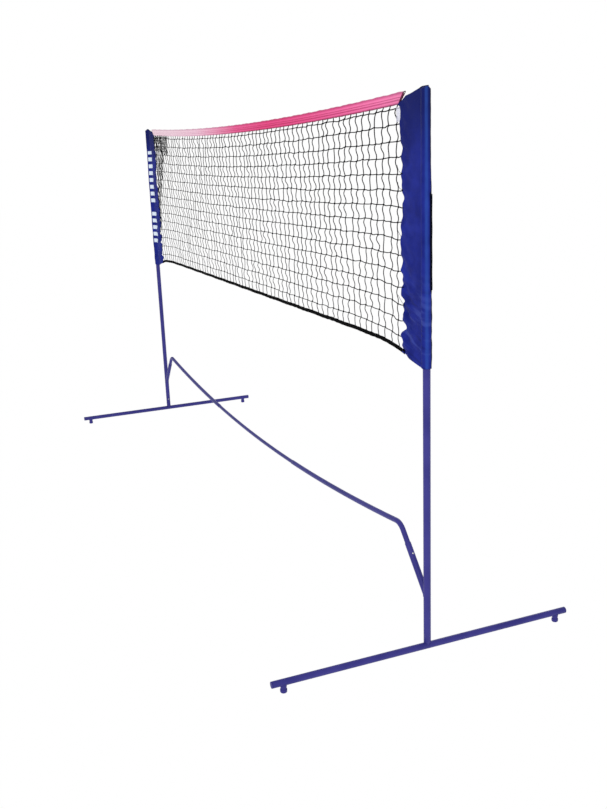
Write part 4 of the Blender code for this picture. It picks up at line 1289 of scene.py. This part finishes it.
def make_closure(label, side):
    """A fastening strip down the rear of the pocket: part of a slightly larger circle, wavy along
    its edges, with rounded corners."""
    v = np.linspace(0, 1, 60)[:, None]
    u = np.linspace(-1, 1, 9)
    z = STRIP_BOTTOM + v * (STRIP_TOP - STRIP_BOTTOM)
    corner = np.sqrt(np.clip(1 - np.clip(np.abs(2 * v - 1) * 1.02 - 0.02, 0, 1) ** 40, 0, 1)) * 0.15 + 0.85
    angle = math.radians(50) + u * math.radians(25) * corner + 0.03 * np.sin(z * 47)
    radius = POCKET_RADIUS + 0.0010 + 0.0004 * np.sin(z * 83) * (1 - np.abs(u))
    points = points_of(side * (POST_X + radius * np.cos(angle)), radius * np.sin(angle), z)
    if side < 0:
        points = points[:, ::-1]
    uv = points_of(u * 0.005, z)
    name, node = f"closure_fastener_{label}", f"closure_strip_{label}"
    return add_cloth(name, points, uv, HOOK_LOOP, "webbing", node, 0.0012, offset=1.0)


def make_binding(label, side):
    """Navy binding rolled over the sleeve's top edge, from the tape's end up to the peak."""
    corners = np.array([*TOP_OUTLINE, (PEAK_END_X, SLEEVE_TOP)]) - [0, 0.0012]
    run = travelled(*corners.T)
    s = np.linspace(0, run[-1], 70)
    x, z = np.interp(s, run, corners[:, 0]), np.interp(s, run, corners[:, 1])
    for line in (x, z):
        line[2:-2] = np.convolve(line, np.ones(5) / 5, "valid")
    path = points_of(side * x, 0.0003 * np.sin(s * 300), z)
    thick = 0.0016 * (1 + 0.12 * np.sin(s * 260)) * (0.6 + 0.4 * smoothstep(s, 0, 0.01))
    rings = sweep(path, thick, 12, flatness=0.9)
    mesh = grid_mesh(f"sleeve_binding_{label}", rings, (False, True), True, string_uv(path, 12), 80.0)
    return add_piece(mesh, NAVY_BINDING, "net")


def make_patch(label, side):
    """A sheer square of gauze, stretched a little hollow between its corners."""
    low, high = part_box(f"corner_patch_{label}")
    v, u = np.linspace(0, 1, 13)[:, None], np.linspace(0, 1, 11)[None, :]
    near, far = sorted((abs(low.x), abs(high.x)))
    x = near + (far - near) * u + 0.0018 * np.sin(math.pi * v) * (1 - u)
    z = low.z + v * (high.z - low.z) + 0.0015 * np.sin(math.pi * u) * (1 - 2 * v)
    y = low.y - 0.0010 * np.sin(math.pi * u) * np.sin(math.pi * v)
    points = points_of(side * x, y, z)
    if side < 0:
        points = points[:, ::-1]
    uv = points_of(u * (far - near), v * (high.z - low.z))
    look = (GAUZES[label], "patch_fabric")
    piece = add_cloth(f"corner_gauze_{label}", points, uv, *look, f"corner_patch_{label}", 0.0003)


def make_floor():
    size = 30.0
    edge = np.array([-size, size])
    points = points_of(edge, edge[:, None], -0.0002)
    mesh = grid_mesh("floor", points)
    mesh.materials.append(floor_paper())
    floor = bpy.data.objects.new("floor", mesh)
    bpy.context.scene.collection.objects.link(floor)


make_camera()
make_studio()
make_floor()

INDIGO = coated("indigo_powder_coat", srgb(49, 47, 122), srgb(58, 55, 132), 700.0, 0.36)
PLASTIC = coated("indigo_moulded_plastic", srgb(50, 47, 122), srgb(58, 54, 132), 1500.0, 0.46)
WELD = weld_metal()
ZINC = plated("zinc_plated_steel", (0.52, 0.53, 0.55), 0.30)
BRIGHT_STEEL = plated("nickel_plated_steel", (0.60, 0.60, 0.62), 0.18)
SPRING_STEEL = plated("blued_spring_steel", (0.26, 0.29, 0.36), 0.24)
SLEEVE_PLAIN = sleeve_cloth("blue_sleeve_cloth", printed=False)
SLEEVE_PRINTED = sleeve_cloth("blue_sleeve_cloth_with_bars", printed=True)
PINK = tape_cloth()
TWINE = spun("black_twine", srgb(5, 6, 8), srgb(22, 23, 28), 0.006)
WHITE_BRAID = spun("white_braid", srgb(196, 196, 190), srgb(232, 232, 228), 0.008)
WEBBING = woven_band("black_webbing", srgb(0, 0, 1), srgb(8, 8, 11), 0.0008)
NAVY_BINDING = woven_band("navy_binding", srgb(4, 6, 24), srgb(18, 22, 60), 0.0007)
HOOK_LOOP = hook_and_loop()
GAUZES = {
    "left": sheer_gauze("black_gauze", srgb(20, 26, 34), srgb(44, 52, 62), 0.62),
    "right": sheer_gauze("white_gauze", srgb(206, 208, 226), srgb(232, 232, 244), 0.42),
}

for end_label, end_side in SIDES.items():
    chance = np.random.default_rng(40 + end_side)
    make_foot_bar(end_label, end_side)
    make_posts(end_label, end_side)
    make_stub(end_label, end_side)
    make_welds(end_label, end_side, chance)
    make_caps(end_label, end_side)
    for end_name, end_sign in ENDS.items():
        make_foot(end_label, end_side, end_name, end_sign)
    make_buttons(end_label, end_side)
    make_rivet(end_label, end_side)
    make_sleeve(end_label, end_side, chance)
    make_patch(end_label, end_side)
make_crossbar()
dress_inner_parts()
make_netting(np.random.default_rng(7))
make_tape()
make_headline()
make_band()
